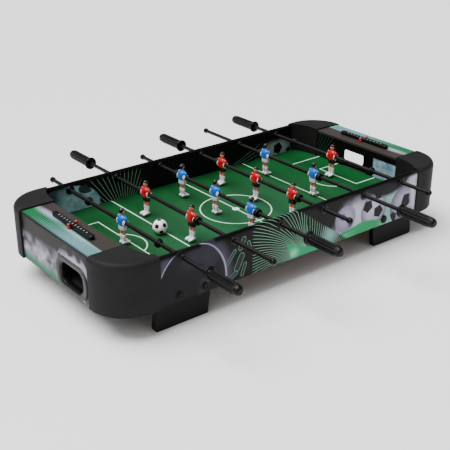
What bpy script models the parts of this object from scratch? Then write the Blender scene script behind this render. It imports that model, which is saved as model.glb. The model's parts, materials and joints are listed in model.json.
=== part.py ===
"""Tabletop foosball table: a boxed pitch on four low legs with six player rods.

Metres, +Z up. The floor is z = 0 and the origin is under the middle of the table.
+X runs along the table, +Y across it. "left" is -X, "right" is +X, "near" is -Y and "far" is +Y.
"""
import math

import bmesh
import bpy
from mathutils import Matrix, Vector

# Driving dimensions -------------------------------------------------------------------------
GAP = 0.0003                 # kept between any two pieces that meet
CUT_OVERRUN = 0.01           # how far a cutter reaches past what it cuts

ROD_Z = 0.132                # height of the rods' axes over the floor
ROD_PITCH = 0.110            # from one rod to the next
ROD_R = 0.004
ROD_SIDES = 12
BORE_R = 0.0045              # what turns on, slides on or holds a rod

BODY_BOTTOM = 0.051          # lower edge of the side and end panels
TOP_Z = 0.1462               # upper edge of the panels and top face of the end boards
PITCH_TOP = 0.084
PITCH_T = 0.004

SIDE_OUT_Y = 0.1975          # outer face of the side panels
PANEL_T = 0.010
SIDE_IN_Y = SIDE_OUT_Y - PANEL_T
SIDE_END_X = 0.3435          # the side panels end inside the caps

END_OUT_X = 0.4145           # outer face of the end panels
END_IN_X = END_OUT_X - PANEL_T
END_END_Y = 0.1265           # and so do the end panels
BOARD_T = 0.005
BOARD_UNDER = TOP_Z - BOARD_T

GOAL_X = 0.346               # the goal wall's face towards the pitch
GOAL_T = 0.005
GOAL_HALF_W = 0.036
GOAL_HEIGHT = 0.040
GOAL_CORNER = 0.008

TRAY_TOP = 0.061
TRAY_T = 0.003
TRAY_WALL_T = 0.004

CAP_PROUD = 0.0042           # how far a cap stands out from the panels
CAP_TOP = 0.1495
CAP_BOTTOM = 0.050
CAP_END_X = 0.324            # where a cap starts along the side panel
CAP_END_Y = 0.122            # and along the end panel
CAP_CORNER_R = 0.075
CAP_FILLET = 0.009
CAP_SKIRT_T = 0.0022
CAP_LIP = 0.0025             # how far a cap reaches over the goal wall and the side panel
CAP_ARC_STEPS = 8
CAP_FILLET_STEPS = 3

BEZEL_Y = 0.063              # offset of the ball return from the middle of its end panel
BEZEL_Z = 0.0845
BEZEL_SIZE = (0.106, 0.062)
BEZEL_HOLE = (0.074, 0.039)
BEZEL_R = 0.026
BEZEL_HOLE_R = 0.015
BEZEL_T = 0.0035
BEZEL_COLLAR_T = 0.002

SCORE_X = 0.373
SCORE_SIZE = (0.0115, 0.140, 0.0075)
MARKER_SIZE = (0.0055, 0.008, 0.0095)
MARKER_ROUNDING = 0.0012
MARKER_PLACES = (("outer", 1, -0.001), ("inner", -1, 0.003))   # edge of the bar, its side, rest y

LEG_T = 0.012
LEG_TOP_X = (0.206, 0.321)   # inner and outer edge at the leg's top
LEG_FOOT_X = (0.217, 0.330)
LEG_TOP_Z = 0.079
LEG_CORNER = 0.006
BOLT_X = (0.229, 0.283)
BOLT_Z = 0.0625
BOLT_R = 0.003
BOLT_CAP_R = 0.0085
BOLT_CAP_T = 0.004

BUSH_R = 0.0095
BUSH_PROUD = 0.003

HANDLE_LENGTH = 0.083
HANDLE_R = 0.0105
HANDLE_FLANGE_R = 0.0132
HANDLE_FLANGE_T = 0.006
HANDLE_DEPTH = 0.055         # how far the rod goes into its handle

BUMPER_R = 0.0085
BUMPER_LENGTH = 0.010
BUMPER_EDGE = 0.0012
COLLAR_OFFSET = 0.119        # the goalkeeper rods' stops, from the player
PLUG_R = 0.0058              # plastic plug on the rod's plain end
PLUG_LENGTH = 0.008

PLAYER_HALF_W = 0.012
PLAYER_SIDES = 8
BALL_R = 0.0145
BALL_AT = (-0.1935, -0.0085)

BLUE = (0.02, 0.16, 0.62)
RED = (0.62, 0.01, 0.02)
BLACK = (0.012, 0.012, 0.013)

# One entry a rod, from left to right: its team, the players' places along the rod at rest,
# and the distance of the handle's tip and of the plain end from the table's middle.
# Blue plays from the near side towards +X, red from the far side towards -X.
RODS = (
    {"team": "blue", "players": (-0.0065,), "tip": 0.350, "plain": 0.263},
    {"team": "red", "players": (-0.0735, 0.0795), "tip": 0.374, "plain": 0.305},
    {"team": "blue", "players": (-0.115, -0.003, 0.109), "tip": 0.353, "plain": 0.261},
    {"team": "red", "players": (-0.110, 0.002, 0.114), "tip": 0.345, "plain": 0.269},
    {"team": "blue", "players": (-0.0545, 0.0985), "tip": 0.374, "plain": 0.320},
    {"team": "red", "players": (0.002,), "tip": 0.347, "plain": 0.273},
)

# A player's outline: height over the rod's axis, middle, half depth and half width.
PLAYER_SECTIONS = (
    (-0.0440, 0.0040, 0.0085, 0.0085),
    (-0.0385, 0.0040, 0.0085, 0.0085),
    (-0.0340, 0.0005, 0.0050, 0.0075),
    (-0.0200, 0.0000, 0.0045, 0.0070),
    (-0.0130, 0.0000, 0.0060, 0.0085),
    (-0.0060, 0.0000, 0.0070, 0.0095),
    (0.0050, 0.0000, 0.0075, PLAYER_HALF_W),
    (0.0115, 0.0000, 0.0060, 0.0110),
    (0.0145, 0.0000, 0.0030, 0.0040),
    (0.0180, 0.0000, 0.0052, 0.0048),
    (0.0235, 0.0000, 0.0054, 0.0050),
    (0.0270, 0.0000, 0.0025, 0.0022),
)


# Helpers ------------------------------------------------------------------------------------
def clear_scene():
    """Start from an empty scene, so that only the parts are in it."""
    for obj in list(bpy.data.objects):
        bpy.data.objects.remove(obj, do_unlink=True)


def make_material(name, color, roughness, metallic=0.0):
    """A Principled material with one colour."""
    material = bpy.data.materials.new(name)
    material.use_nodes = True
    shader = material.node_tree.nodes["Principled BSDF"]
    shader.inputs["Base Color"].default_value = (*color, 1.0)
    shader.inputs["Roughness"].default_value = roughness
    shader.inputs["Metallic"].default_value = metallic
    return material


def add_object(name, bm, material=None, location=(0, 0, 0), parent=None):
    """Put a bmesh in the scene as one named object."""
    bmesh.ops.recalc_face_normals(bm, faces=bm.faces[:])
    mesh = bpy.data.meshes.new(name)
    bm.to_mesh(mesh)
    bm.free()
    return place_mesh(name, mesh, material, location, parent)


def place_mesh(name, mesh, material=None, location=(0, 0, 0), parent=None):
    """Put a mesh in the scene as one named object."""
    obj = bpy.data.objects.new(name, mesh)
    obj.location = location
    obj.parent = parent
    if material:
        mesh.materials.clear()
        mesh.materials.append(material)
    bpy.context.scene.collection.objects.link(obj)
    return obj


def add_cutter(name, bm):
    """A guide object that a Boolean reads and that is not part of the table."""
    cutter = add_object(name, bm)
    cutter.hide_render = True
    cutter.display_type = "WIRE"
    return cutter


def add_boolean(obj, cutter, operation="DIFFERENCE"):
    """Cut an object with a cutter, or join the two."""
    modifier = obj.modifiers.new(cutter.name, "BOOLEAN")
    modifier.operation = operation
    modifier.solver = "EXACT"
    modifier.object = cutter


def add_box(bm, low, high):
    """Add an axis-aligned box between two corners."""
    low, high = Vector(low), Vector(high)
    size = high - low
    matrix = Matrix.Translation((low + high) / 2) @ Matrix.Diagonal((*size, 1.0))
    bmesh.ops.create_cube(bm, size=1.0, matrix=matrix)


def box(low, high):
    """A bmesh that holds one box."""
    bm = bmesh.new()
    add_box(bm, low, high)
    return bm


def loft(rings, closed_ends=True):
    """Skin a list of point rings that all have the same number of points."""
    bm = bmesh.new()
    loops = [[bm.verts.new(point) for point in ring] for ring in rings]
    for lower, upper in zip(loops, loops[1:]):
        for i in range(len(lower)):
            j = (i + 1) % len(lower)
            bm.faces.new((lower[i], lower[j], upper[j], upper[i]))
    if closed_ends:
        bm.faces.new(loops[0][::-1])
        bm.faces.new(loops[-1])
    return bm


def extrude(outline, axis, start, end):
    """Extrude a 2D outline along X, Y or Z; the outline gives the two other coordinates in order."""
    def place(point, value):
        coordinates = list(point)
        coordinates.insert("XYZ".index(axis), value)
        return coordinates
    return loft([[place(p, start) for p in outline], [place(p, end) for p in outline]])


def arc(center, radii, start_deg, end_deg, steps):
    """Points along an elliptical arc, both ends included."""
    points = []
    for i in range(steps + 1):
        angle = math.radians(start_deg + (end_deg - start_deg) * i / steps)
        points.append((center[0] + radii[0] * math.cos(angle), center[1] + radii[1] * math.sin(angle)))
    return points


def rounded_rectangle(center, size, radius, steps=3):
    """Outline of a rectangle with round corners."""
    half_w = size[0] / 2 - radius
    half_h = size[1] / 2 - radius
    corners = ((1, 1, 0), (-1, 1, 90), (-1, -1, 180), (1, -1, 270))
    points = []
    for sx, sy, start in corners:
        middle = (center[0] + sx * half_w, center[1] + sy * half_h)
        points += arc(middle, (radius, radius), start, start + 90, steps)
    return points


def add_cylinder(bm, center, radius, start_y, end_y, sides=ROD_SIDES):
    """Add a cylinder along Y through center (x, z)."""
    matrix = Matrix.Translation((center[0], (start_y + end_y) / 2, center[1]))
    matrix = matrix @ Matrix.Rotation(math.pi / 2, 4, "X")
    bmesh.ops.create_cone(bm, cap_ends=True, segments=sides, radius1=radius, radius2=radius,
                          depth=abs(end_y - start_y), matrix=matrix)


def turn(profile, sides=ROD_SIDES, closed=False):
    """Turn (radius, y) points about the Y axis; an open profile starts and ends on the axis."""
    bm = bmesh.new()
    rings = []
    for radius, y in profile:
        if radius == 0:
            rings.append([bm.verts.new((0, y, 0))])
            continue
        ring = []
        for i in range(sides):
            angle = 2 * math.pi * i / sides
            ring.append(bm.verts.new((radius * math.cos(angle), y, radius * math.sin(angle))))
        rings.append(ring)
    pairs = list(zip(rings, rings[1:]))
    if closed:
        pairs.append((rings[-1], rings[0]))
    for first, second in pairs:
        for i in range(sides):
            j = (i + 1) % sides
            corners = [first[i % len(first)], first[j % len(first)],
                       second[j % len(second)], second[i % len(second)]]
            bm.faces.new(list(dict.fromkeys(corners)))
    return bm


def shade(obj, angle_deg=35):
    """Smooth the shading between faces that meet at less than an angle."""
    obj.data.shade_smooth()
    obj.data.set_sharp_from_angle(angle=math.radians(angle_deg))


# The table's body ---------------------------------------------------------------------------
def rod_x(index):
    """Place of a rod along the table, counted from 0 at the left."""
    return (index - (len(RODS) - 1) / 2) * ROD_PITCH


def panel_outline(out_y, in_y):
    """Cross-section (y, z) of a side panel with its rounded top edge."""
    radius = abs(out_y - in_y) / 2
    top = arc(((out_y + in_y) / 2, TOP_Z - radius), (radius, radius), 0, 180, 6)
    return [(min(out_y, in_y), BODY_BOTTOM), (max(out_y, in_y), BODY_BOTTOM), *top]


def build_side_panel(side, sign, material):
    """A side panel with its six rod bushes, which are one solid with it."""
    out_y = sign * SIDE_OUT_Y
    in_y = sign * SIDE_IN_Y
    cut = (out_y + sign * CUT_OVERRUN, in_y - sign * CUT_OVERRUN)
    outline = panel_outline(out_y, in_y)
    panel = add_object(f"side_panel_{side}", extrude(outline, "X", -SIDE_END_X, SIDE_END_X), material)
    bushes = bmesh.new()
    bores = bmesh.new()
    for index in range(len(RODS)):
        center = (rod_x(index), ROD_Z)
        add_cylinder(bushes, center, BUSH_R, out_y + sign * BUSH_PROUD, in_y - sign * BUSH_PROUD)
        add_cylinder(bores, center, BORE_R, *cut)
    for x in BOLT_X:
        for side_x in (-x, x):
            add_cylinder(bores, (side_x, BOLT_Z), BOLT_R + GAP * 1.5, *cut)
    add_boolean(panel, add_cutter(f"bushes_{side}", bushes), "UNION")
    add_boolean(panel, add_cutter(f"bores_{side}", bores))
    shade(panel)


def goal_outline():
    """The goal mouth (y, z): square at the pitch, with rounded upper corners."""
    radii = (GOAL_CORNER, GOAL_CORNER)
    side_y = GOAL_HALF_W - GOAL_CORNER
    crown_z = PITCH_TOP + GOAL_HEIGHT - GOAL_CORNER
    right = arc((side_y, crown_z), radii, 0, 90, 3)
    left = arc((-side_y, crown_z), radii, 90, 180, 3)
    return [(-GOAL_HALF_W, PITCH_TOP), (GOAL_HALF_W, PITCH_TOP), *right, *left]


def build_end(side, sign, materials):
    """An end of the table: its panel, top board, goal wall, ball tray, bezel and score bar."""
    bezel_y = sign * BEZEL_Y
    panel = add_object(
        f"end_panel_{side}",
        box((sign * END_IN_X, -END_END_Y, BODY_BOTTOM), (sign * END_OUT_X, END_END_Y, BOARD_UNDER - GAP)),
        materials["end_print"])
    collar = [size + 2 * (BEZEL_COLLAR_T + GAP) for size in BEZEL_HOLE]
    opening = rounded_rectangle((bezel_y, BEZEL_Z), collar, BEZEL_HOLE_R + BEZEL_COLLAR_T + GAP)
    cut = extrude(opening, "X", sign * (END_IN_X - CUT_OVERRUN), sign * (END_OUT_X + CUT_OVERRUN))
    add_boolean(panel, add_cutter(f"return_cut_{side}", cut))

    board = box((sign * GOAL_X, -END_END_Y, BOARD_UNDER), (sign * END_OUT_X, END_END_Y, TOP_Z))
    add_object(f"end_top_board_{side}", board, materials["board_print"])

    wall_x = (sign * GOAL_X, sign * (GOAL_X + GOAL_T))
    wall = add_object(
        f"goal_wall_{side}",
        box((wall_x[0], -SIDE_IN_Y + GAP, TRAY_TOP + GAP), (wall_x[1], SIDE_IN_Y - GAP, BOARD_UNDER - GAP)),
        materials["goal_print"])
    mouth = extrude(goal_outline(), "X",
                    sign * (GOAL_X - CUT_OVERRUN), sign * (GOAL_X + GOAL_T + CUT_OVERRUN))
    add_boolean(wall, add_cutter(f"goal_cut_{side}", mouth))

    build_tray(side, sign, materials["board_black"])
    build_bezel(side, sign, materials["bezel"])
    build_score_bar(side, sign, materials)


def build_tray(side, sign, material):
    """The end box's floor and its two end walls, as one channel."""
    inner_x = sign * (GOAL_X + GOAL_T + GAP)
    outer_x = sign * (END_IN_X - GAP)
    wall_y = END_END_Y
    floor = TRAY_TOP - TRAY_T
    top = BOARD_UNDER - GAP
    outline = [(-wall_y, floor), (wall_y, floor), (wall_y, top), (wall_y - TRAY_WALL_T, top),
               (wall_y - TRAY_WALL_T, TRAY_TOP), (-wall_y + TRAY_WALL_T, TRAY_TOP),
               (-wall_y + TRAY_WALL_T, top), (-wall_y, top)]
    add_object(f"ball_tray_{side}", extrude(outline, "X", inner_x, outer_x), material)


def build_bezel(side, sign, material):
    """The plastic frame round the ball return: a plate with a collar through the panel."""
    center = (sign * BEZEL_Y, BEZEL_Z)
    face_x = END_OUT_X + GAP
    plate_outline = rounded_rectangle(center, BEZEL_SIZE, BEZEL_R, 5)
    plate = extrude(plate_outline, "X", sign * face_x, sign * (face_x + BEZEL_T))
    bezel = add_object(f"ball_return_bezel_{side}", plate, material)
    collar_size = [size + 2 * BEZEL_COLLAR_T for size in BEZEL_HOLE]
    collar_outline = rounded_rectangle(center, collar_size, BEZEL_HOLE_R + BEZEL_COLLAR_T)
    collar = extrude(collar_outline, "X", sign * END_IN_X, sign * (face_x + BEZEL_T / 2))
    add_boolean(bezel, add_cutter(f"bezel_collar_{side}", collar), "UNION")
    hole = extrude(rounded_rectangle(center, BEZEL_HOLE, BEZEL_HOLE_R), "X",
                   sign * (END_IN_X - CUT_OVERRUN), sign * (face_x + BEZEL_T + CUT_OVERRUN))
    add_boolean(bezel, add_cutter(f"bezel_hole_{side}", hole))
    shade(bezel)


def build_score_bar(side, sign, materials):
    """The score counter: a bar with a marker that slides along each of its edges."""
    width, length, height = SCORE_SIZE
    base_z = TOP_Z + GAP
    outline = rounded_rectangle((sign * SCORE_X, 0.0), (width, length), width / 2 - GAP, 4)
    bar = extrude(outline, "Z", base_z, base_z + height)
    shade(add_object(f"score_bar_{side}", bar, materials["score_bar"]))
    half_x = MARKER_SIZE[0] / 2
    half_y = MARKER_SIZE[1] / 2
    for place, direction, y in MARKER_PLACES:
        marker_x = sign * (SCORE_X + direction * (width / 2 + GAP + half_x))
        block = box((-half_x, -half_y, 0), (half_x, half_y, MARKER_SIZE[2]))
        bmesh.ops.bevel(block, geom=block.edges[:], offset=MARKER_ROUNDING, segments=2, profile=0.5,
                        affect="EDGES")
        add_object(f"score_marker_{side}_{place}", block, materials["marker"], (marker_x, y, base_z))


def build_playfield(material):
    """The pitch board."""
    bm = box((-GOAL_X + GAP, -SIDE_IN_Y + GAP, PITCH_TOP - PITCH_T),
             (GOAL_X - GAP, SIDE_IN_Y - GAP, PITCH_TOP))
    add_object("playfield", bm, material)


# Corner caps --------------------------------------------------------------------------------
def cap_outer(inset):
    """Plan points of a cap's outer side in the +X +Y corner, from the side to the end panel."""
    out_x = END_OUT_X + CAP_PROUD
    out_y = SIDE_OUT_Y + CAP_PROUD
    center = (out_x - CAP_CORNER_R, out_y - CAP_CORNER_R)
    radius = CAP_CORNER_R - inset
    return arc(center, (radius, radius), 90, 0, CAP_ARC_STEPS)


def cap_outline(inset, skirt, overrun=0.0):
    """Closed plan outline of a cap; skirt moves its inner curve back under the skirt's wall."""
    end_x = CAP_END_X - overrun
    end_y = CAP_END_Y - overrun
    outer = cap_outer(inset)
    inner_center = (CAP_END_X - 0.002, CAP_END_Y)
    radii = (GOAL_X - CAP_LIP - inner_center[0] + skirt, SIDE_IN_Y - CAP_LIP - CAP_END_Y + skirt)
    inner = arc(inner_center, radii, 0, 87, CAP_ARC_STEPS)
    first = (end_x, outer[0][1])
    last = (outer[-1][0], end_y)
    start = (inner[0][0], end_y)
    finish = (end_x, inner[-1][1])
    if overrun:
        return [first, *outer, last, start, *inner, finish]
    return [first, *outer, last, *inner[:-1], finish]


def build_cap(name, sign_x, sign_y, material):
    """A moulded corner: an open-bottomed shell that the ends of the panels slot into."""
    def mirrored(outline, z):
        return [(sign_x * x, sign_y * y, z) for x, y in outline]
    plan = cap_outline(0.0, 0.0)
    rings = [mirrored(plan, CAP_BOTTOM)]
    for step in range(CAP_FILLET_STEPS + 1):
        angle = math.pi / 2 * step / CAP_FILLET_STEPS
        inset = CAP_FILLET * (1 - math.cos(angle))
        z = CAP_TOP - CAP_FILLET * (1 - math.sin(angle))
        rings.append(mirrored(cap_outline(inset, 0.0), z))
    cap = add_object(f"corner_cap_{name}", loft(rings), material)

    wall = CAP_PROUD - GAP
    cavity = cap_outline(wall, CAP_SKIRT_T, overrun=CUT_OVERRUN)
    under = [mirrored(cavity, CAP_BOTTOM - CUT_OVERRUN), mirrored(cavity, TOP_Z + GAP)]
    add_boolean(cap, add_cutter(f"cap_cavity_{name}", loft(under)))
    center_x = CAP_END_X - 0.03
    center_y = CAP_END_Y - 0.03
    outer = cap_outer(wall)
    plain = [(center_x, outer[0][1]), *outer, (outer[-1][0], center_y), (center_x, center_y)]
    low = [mirrored(plain, CAP_BOTTOM - CUT_OVERRUN), mirrored(plain, PITCH_TOP + GAP)]
    add_boolean(cap, add_cutter(f"cap_skirt_{name}", loft(low)))
    shade(cap)


# Legs ---------------------------------------------------------------------------------------
def build_leg(name, sign_x, sign_y, material):
    """A leg plate with its two bolts and their round caps, which are one solid with it."""
    inner_y = SIDE_IN_Y - GAP
    outline = [(LEG_TOP_X[0], LEG_TOP_Z), (LEG_FOOT_X[0] - 0.001, LEG_CORNER / 2),
               (LEG_FOOT_X[0] + 0.001, 0.0), (LEG_FOOT_X[1] - LEG_CORNER, 0.0),
               (LEG_FOOT_X[1], LEG_CORNER), (LEG_TOP_X[1], LEG_TOP_Z)]
    outline = [(sign_x * x, z) for x, z in outline]
    plate = extrude(outline, "Y", sign_y * (inner_y - LEG_T), sign_y * inner_y)
    leg = add_object(f"leg_{name}", plate, material)
    cap_y = SIDE_OUT_Y + GAP
    bolts = bmesh.new()
    for x in BOLT_X:
        center = (sign_x * x, BOLT_Z)
        add_cylinder(bolts, center, BOLT_R, sign_y * (inner_y - LEG_T / 2), sign_y * (SIDE_OUT_Y + 0.001))
        add_cylinder(bolts, center, BOLT_CAP_R, sign_y * cap_y, sign_y * (cap_y + BOLT_CAP_T))
    add_boolean(leg, add_cutter(f"bolts_{name}", bolts), "UNION")
    leg.modifiers[-1].use_self = True


# Rods, handles, stops and players -----------------------------------------------------------
def handle_profile():
    """(radius, y) points from the bottom of the bore round to the tip; y = 0 is the flange's face."""
    flange = HANDLE_FLANGE_T
    tip = HANDLE_LENGTH
    grip = HANDLE_R
    return [
        (0, HANDLE_DEPTH + GAP), (BORE_R, HANDLE_DEPTH + GAP), (BORE_R, 0),
        (HANDLE_FLANGE_R * 0.8, 0), (HANDLE_FLANGE_R, flange * 0.35), (HANDLE_FLANGE_R, flange * 0.75),
        (grip * 0.9, flange), (grip, flange + 0.006), (grip * 0.97, tip - 0.012),
        (grip * 0.8, tip - 0.004), (grip * 0.45, tip), (0, tip),
    ]


def rod_profile(start, end, plug_at_end, stop):
    """A rod from start to end with its plug at the plain end and one fixed stop ring."""
    plug = [(PLUG_R * 0.8, end), (PLUG_R, end - 0.0015), (PLUG_R, end - PLUG_LENGTH),
            (ROD_R, end - PLUG_LENGTH)]
    ring = [(ROD_R, stop[1]), (BUMPER_R, stop[1]), (BUMPER_R, stop[0]), (ROD_R, stop[0])]
    points = [(0, end), *plug, *ring, (ROD_R, start), (0, start)]
    if plug_at_end:
        return points
    return [(radius, -y) for radius, y in points]


def bumper_profile(start, end):
    """(radius, y) points of a rubber ring."""
    edge = BUMPER_EDGE
    return [(BORE_R, start), (BORE_R, end), (BUMPER_R - edge, end), (BUMPER_R, end - edge),
            (BUMPER_R, start + edge), (BUMPER_R - edge, start)]


def player_bmesh():
    """One player, facing +X, with the rod's axis through its origin along Y."""
    rings = []
    for z, middle, half_depth, half_width in PLAYER_SECTIONS:
        ring = []
        for i in range(PLAYER_SIDES):
            angle = 2 * math.pi * (i + 0.5) / PLAYER_SIDES
            stretch = 1 / math.cos(math.pi / PLAYER_SIDES)
            ring.append((middle + half_depth * stretch * math.cos(angle),
                         half_width * stretch * math.sin(angle), z))
        rings.append(ring)
    return loft(rings)


def drilled_player_mesh():
    """The player's mesh with the rod's hole through it, made once and shared."""
    blank = add_object("player_blank", player_bmesh())
    drill = bmesh.new()
    add_cylinder(drill, (0, 0), BORE_R, -0.03, 0.03)
    cutter = add_cutter("player_drill", drill)
    add_boolean(blank, cutter)
    graph = bpy.context.evaluated_depsgraph_get()
    mesh = bpy.data.meshes.new_from_object(blank.evaluated_get(graph))
    for helper in (blank, cutter):
        bpy.data.objects.remove(helper, do_unlink=True)
    return mesh


def stop_places(spec):
    """Middles of the two stops of a rod, near one first."""
    players = spec["players"]
    if len(players) == 1:
        return players[0] - COLLAR_OFFSET, players[0] + COLLAR_OFFSET
    reach = PLAYER_HALF_W + GAP + BUMPER_LENGTH / 2
    return players[0] - reach, players[-1] + reach


def build_rod(index, spec, player_mesh, materials):
    """One rod with its handle, stops and players, all on the rod's axis."""
    number = index + 1
    near_side = spec["team"] == "blue"
    sign = -1 if near_side else 1
    axis = bpy.data.objects.new(f"axis_{number}", None)
    axis.location = (rod_x(index), 0, ROD_Z)
    bpy.context.scene.collection.objects.link(axis)

    flange_y = sign * (spec["tip"] - HANDLE_LENGTH)
    near_stop, far_stop = stop_places(spec)
    half = BUMPER_LENGTH / 2
    handle_end = spec["tip"] - HANDLE_LENGTH + HANDLE_DEPTH
    if near_side:
        stop = (far_stop - half, far_stop + half)
    else:
        stop = (-far_stop - half, -far_stop + half)
    profile = rod_profile(-handle_end, spec["plain"], near_side, stop)
    rod = add_object(f"rod_{number}", turn(profile), materials["rod"], parent=axis)
    shade(rod)

    profile = [(radius, flange_y + sign * y) for radius, y in handle_profile()]
    shade(add_object(f"handle_{number}", turn(profile), materials["handle"], parent=axis))

    profile = bumper_profile(near_stop - half, near_stop + half)
    shade(add_object(f"bumper_{number}", turn(profile, closed=True), materials["bumper"], parent=axis))

    for place, y in enumerate(spec["players"], start=1):
        mesh = player_mesh.copy()
        player = place_mesh(f"player_{number}_{place}", mesh, materials[spec["team"]], (0, y, 0), axis)
        player.rotation_euler.z = 0 if near_side else math.pi
        shade(player)


def build_ball(material):
    """The ball, resting on the pitch."""
    bm = bmesh.new()
    bmesh.ops.create_icosphere(bm, subdivisions=3, radius=BALL_R)
    ball = add_object("ball", bm, material, (*BALL_AT, PITCH_TOP + GAP + BALL_R))
    ball.data.shade_smooth()


def build_table():
    """Build every piece of the table."""
    clear_scene()
    materials = {
        "side_print": make_material("side_print", (0.05, 0.05, 0.055), 0.45),
        "end_print": make_material("end_print", (0.10, 0.10, 0.10), 0.45),
        "board_print": make_material("board_print", (0.25, 0.30, 0.32), 0.45),
        "goal_print": make_material("goal_print", (0.03, 0.04, 0.04), 0.45),
        "board_black": make_material("board_black", BLACK, 0.6),
        "pitch": make_material("pitch", (0.02, 0.15, 0.05), 0.5),
        "cap": make_material("cap", (0.045, 0.042, 0.041), 0.5),
        "bezel": make_material("bezel", (0.09, 0.09, 0.09), 0.5),
        "score_bar": make_material("score_bar", BLACK, 0.4),
        "marker": make_material("marker", RED, 0.35),
        "leg": make_material("leg", BLACK, 0.5),
        "rod": make_material("rod", BLACK, 0.35, 0.3),
        "handle": make_material("handle", BLACK, 0.6),
        "bumper": make_material("bumper", BLACK, 0.7),
        "blue": make_material("player_blue", BLUE, 0.35),
        "red": make_material("player_red", RED, 0.35),
        "ball": make_material("ball", (0.8, 0.8, 0.8), 0.35),
    }
    for side, sign in (("near", -1), ("far", 1)):
        build_side_panel(side, sign, materials["side_print"])
    for side, sign in (("left", -1), ("right", 1)):
        build_end(side, sign, materials)
    build_playfield(materials["pitch"])
    for side_y, sign_y in (("near", -1), ("far", 1)):
        for side_x, sign_x in (("left", -1), ("right", 1)):
            build_cap(f"{side_y}_{side_x}", sign_x, sign_y, materials["cap"])
            build_leg(f"{side_y}_{side_x}", sign_x, sign_y, materials["leg"])
    player_mesh = drilled_player_mesh()
    for index, spec in enumerate(RODS):
        build_rod(index, spec, player_mesh, materials)
    build_ball(materials["ball"])


build_table()
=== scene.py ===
"""The looks of a tabletop foosball table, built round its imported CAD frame.

Metres, +Z up. +X runs along the table and +Y across it. Left is -X, near is -Y.
Printed artwork is laid out in millimetres on the face that carries it.
"""
import json
import logging
import math
from dataclasses import dataclass
from enum import Enum
from typing import Callable, Iterable, Sequence

import bmesh
import bpy
from mathutils import Matrix, Vector


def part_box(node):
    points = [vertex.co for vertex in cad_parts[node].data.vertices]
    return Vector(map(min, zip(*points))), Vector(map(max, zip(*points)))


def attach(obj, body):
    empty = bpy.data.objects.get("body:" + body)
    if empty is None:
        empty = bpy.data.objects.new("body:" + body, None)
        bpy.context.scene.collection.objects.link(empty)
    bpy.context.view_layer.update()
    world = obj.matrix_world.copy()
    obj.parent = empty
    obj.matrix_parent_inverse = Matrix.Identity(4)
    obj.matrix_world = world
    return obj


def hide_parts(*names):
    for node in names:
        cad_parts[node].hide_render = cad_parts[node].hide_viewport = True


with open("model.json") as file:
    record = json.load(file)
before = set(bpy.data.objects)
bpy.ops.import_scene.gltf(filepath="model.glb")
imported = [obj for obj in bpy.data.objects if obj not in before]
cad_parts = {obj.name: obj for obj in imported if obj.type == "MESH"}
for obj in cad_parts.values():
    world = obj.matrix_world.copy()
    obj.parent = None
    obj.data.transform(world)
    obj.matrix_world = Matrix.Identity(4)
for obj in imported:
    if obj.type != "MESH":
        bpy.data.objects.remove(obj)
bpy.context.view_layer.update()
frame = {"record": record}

MM = 0.001
GAP = 0.0003            # kept between pieces that touch
BUSH_PROUD = 0.003      # how far the rod bushes stand out from a side panel's faces
OVERRUN = 0.01          # how far a cutting shape reaches past what it cuts
Point = tuple[float, float, float]
Plan = tuple[float, float]
log = logging.getLogger("foosball")


class Side(Enum):
    """The long sides of the table."""

    NEAR = -1
    FAR = 1


class End(Enum):
    """The short ends of the table."""

    LEFT = -1
    RIGHT = 1


class Team(Enum):
    """The two teams, by the way that their players face along X."""

    BLUE = 1
    RED = -1


# Shader helpers -------------------------------------------------------------------------------
def linear(colour: str) -> tuple[float, float, float, float]:
    """Turn an sRGB hex colour into linear RGBA.

    Args:
        colour: six hex digits.
    Returns:
        The linear colour with full alpha.
    """
    values = [int(colour[i:i + 2], 16) / 255 for i in (0, 2, 4)]
    values = [v / 12.92 if v <= 0.04045 else ((v + 0.055) / 1.055) ** 2.4 for v in values]
    return (*values, 1.0)


class Field:
    """A number that varies over a surface. Arithmetic on it adds Math nodes to its tree."""

    def __init__(self, tree: bpy.types.NodeTree, socket: bpy.types.NodeSocket) -> None:
        """Wrap a node's output socket."""
        self.tree = tree
        self.socket = socket

    def math(self, operation: str, *others: "Field | float") -> "Field":
        """Add one Math node.

        Args:
            operation: the node's operation.
            others: its other inputs.
        Returns:
            The node's result.
        """
        inputs = dict(enumerate((self, *others)))
        node = add_node(self.tree, "ShaderNodeMath", {"operation": operation}, inputs)
        return Field(self.tree, node.outputs[0])

    def __add__(self, other: "Field | float") -> "Field":
        """Sum."""
        return self.math("ADD", other)

    def __sub__(self, other: "Field | float") -> "Field":
        """Difference."""
        return self.math("SUBTRACT", other)

    def __mul__(self, other: "Field | float") -> "Field":
        """Product."""
        return self.math("MULTIPLY", other)

    def __truediv__(self, other: "Field | float") -> "Field":
        """Quotient."""
        return self.math("DIVIDE", other)

    def __neg__(self) -> "Field":
        """Negative."""
        return self * -1.0

    def __abs__(self) -> "Field":
        """Absolute value."""
        return self.math("ABSOLUTE")

    def clamp(self) -> "Field":
        """Limit to 0 and 1."""
        return self.math("MAXIMUM", 0.0).math("MINIMUM", 1.0)

    def ramp(self, start: float, end: float) -> "Field":
        """Rise from 0 at start to 1 at end; start may be the larger."""
        return ((self - start) / (end - start)).clamp()


def add_node(tree: bpy.types.NodeTree, kind: str, settings: dict | None = None,
             inputs: dict | None = None) -> bpy.types.Node:
    """Add one shader node.

    Args:
        tree: the material's node tree.
        kind: the node's type name.
        settings: attributes to set on the node.
        inputs: input name or index to a constant, a socket or a Field.
    Returns:
        The new node.
    """
    node = tree.nodes.new(kind)
    for key, value in (settings or {}).items():
        setattr(node, key, value)
    for key, value in (inputs or {}).items():
        value = value.socket if isinstance(value, Field) else value
        if isinstance(value, bpy.types.NodeSocket):
            tree.links.new(value, node.inputs[key])
        else:
            node.inputs[key].default_value = value
    return node


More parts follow.
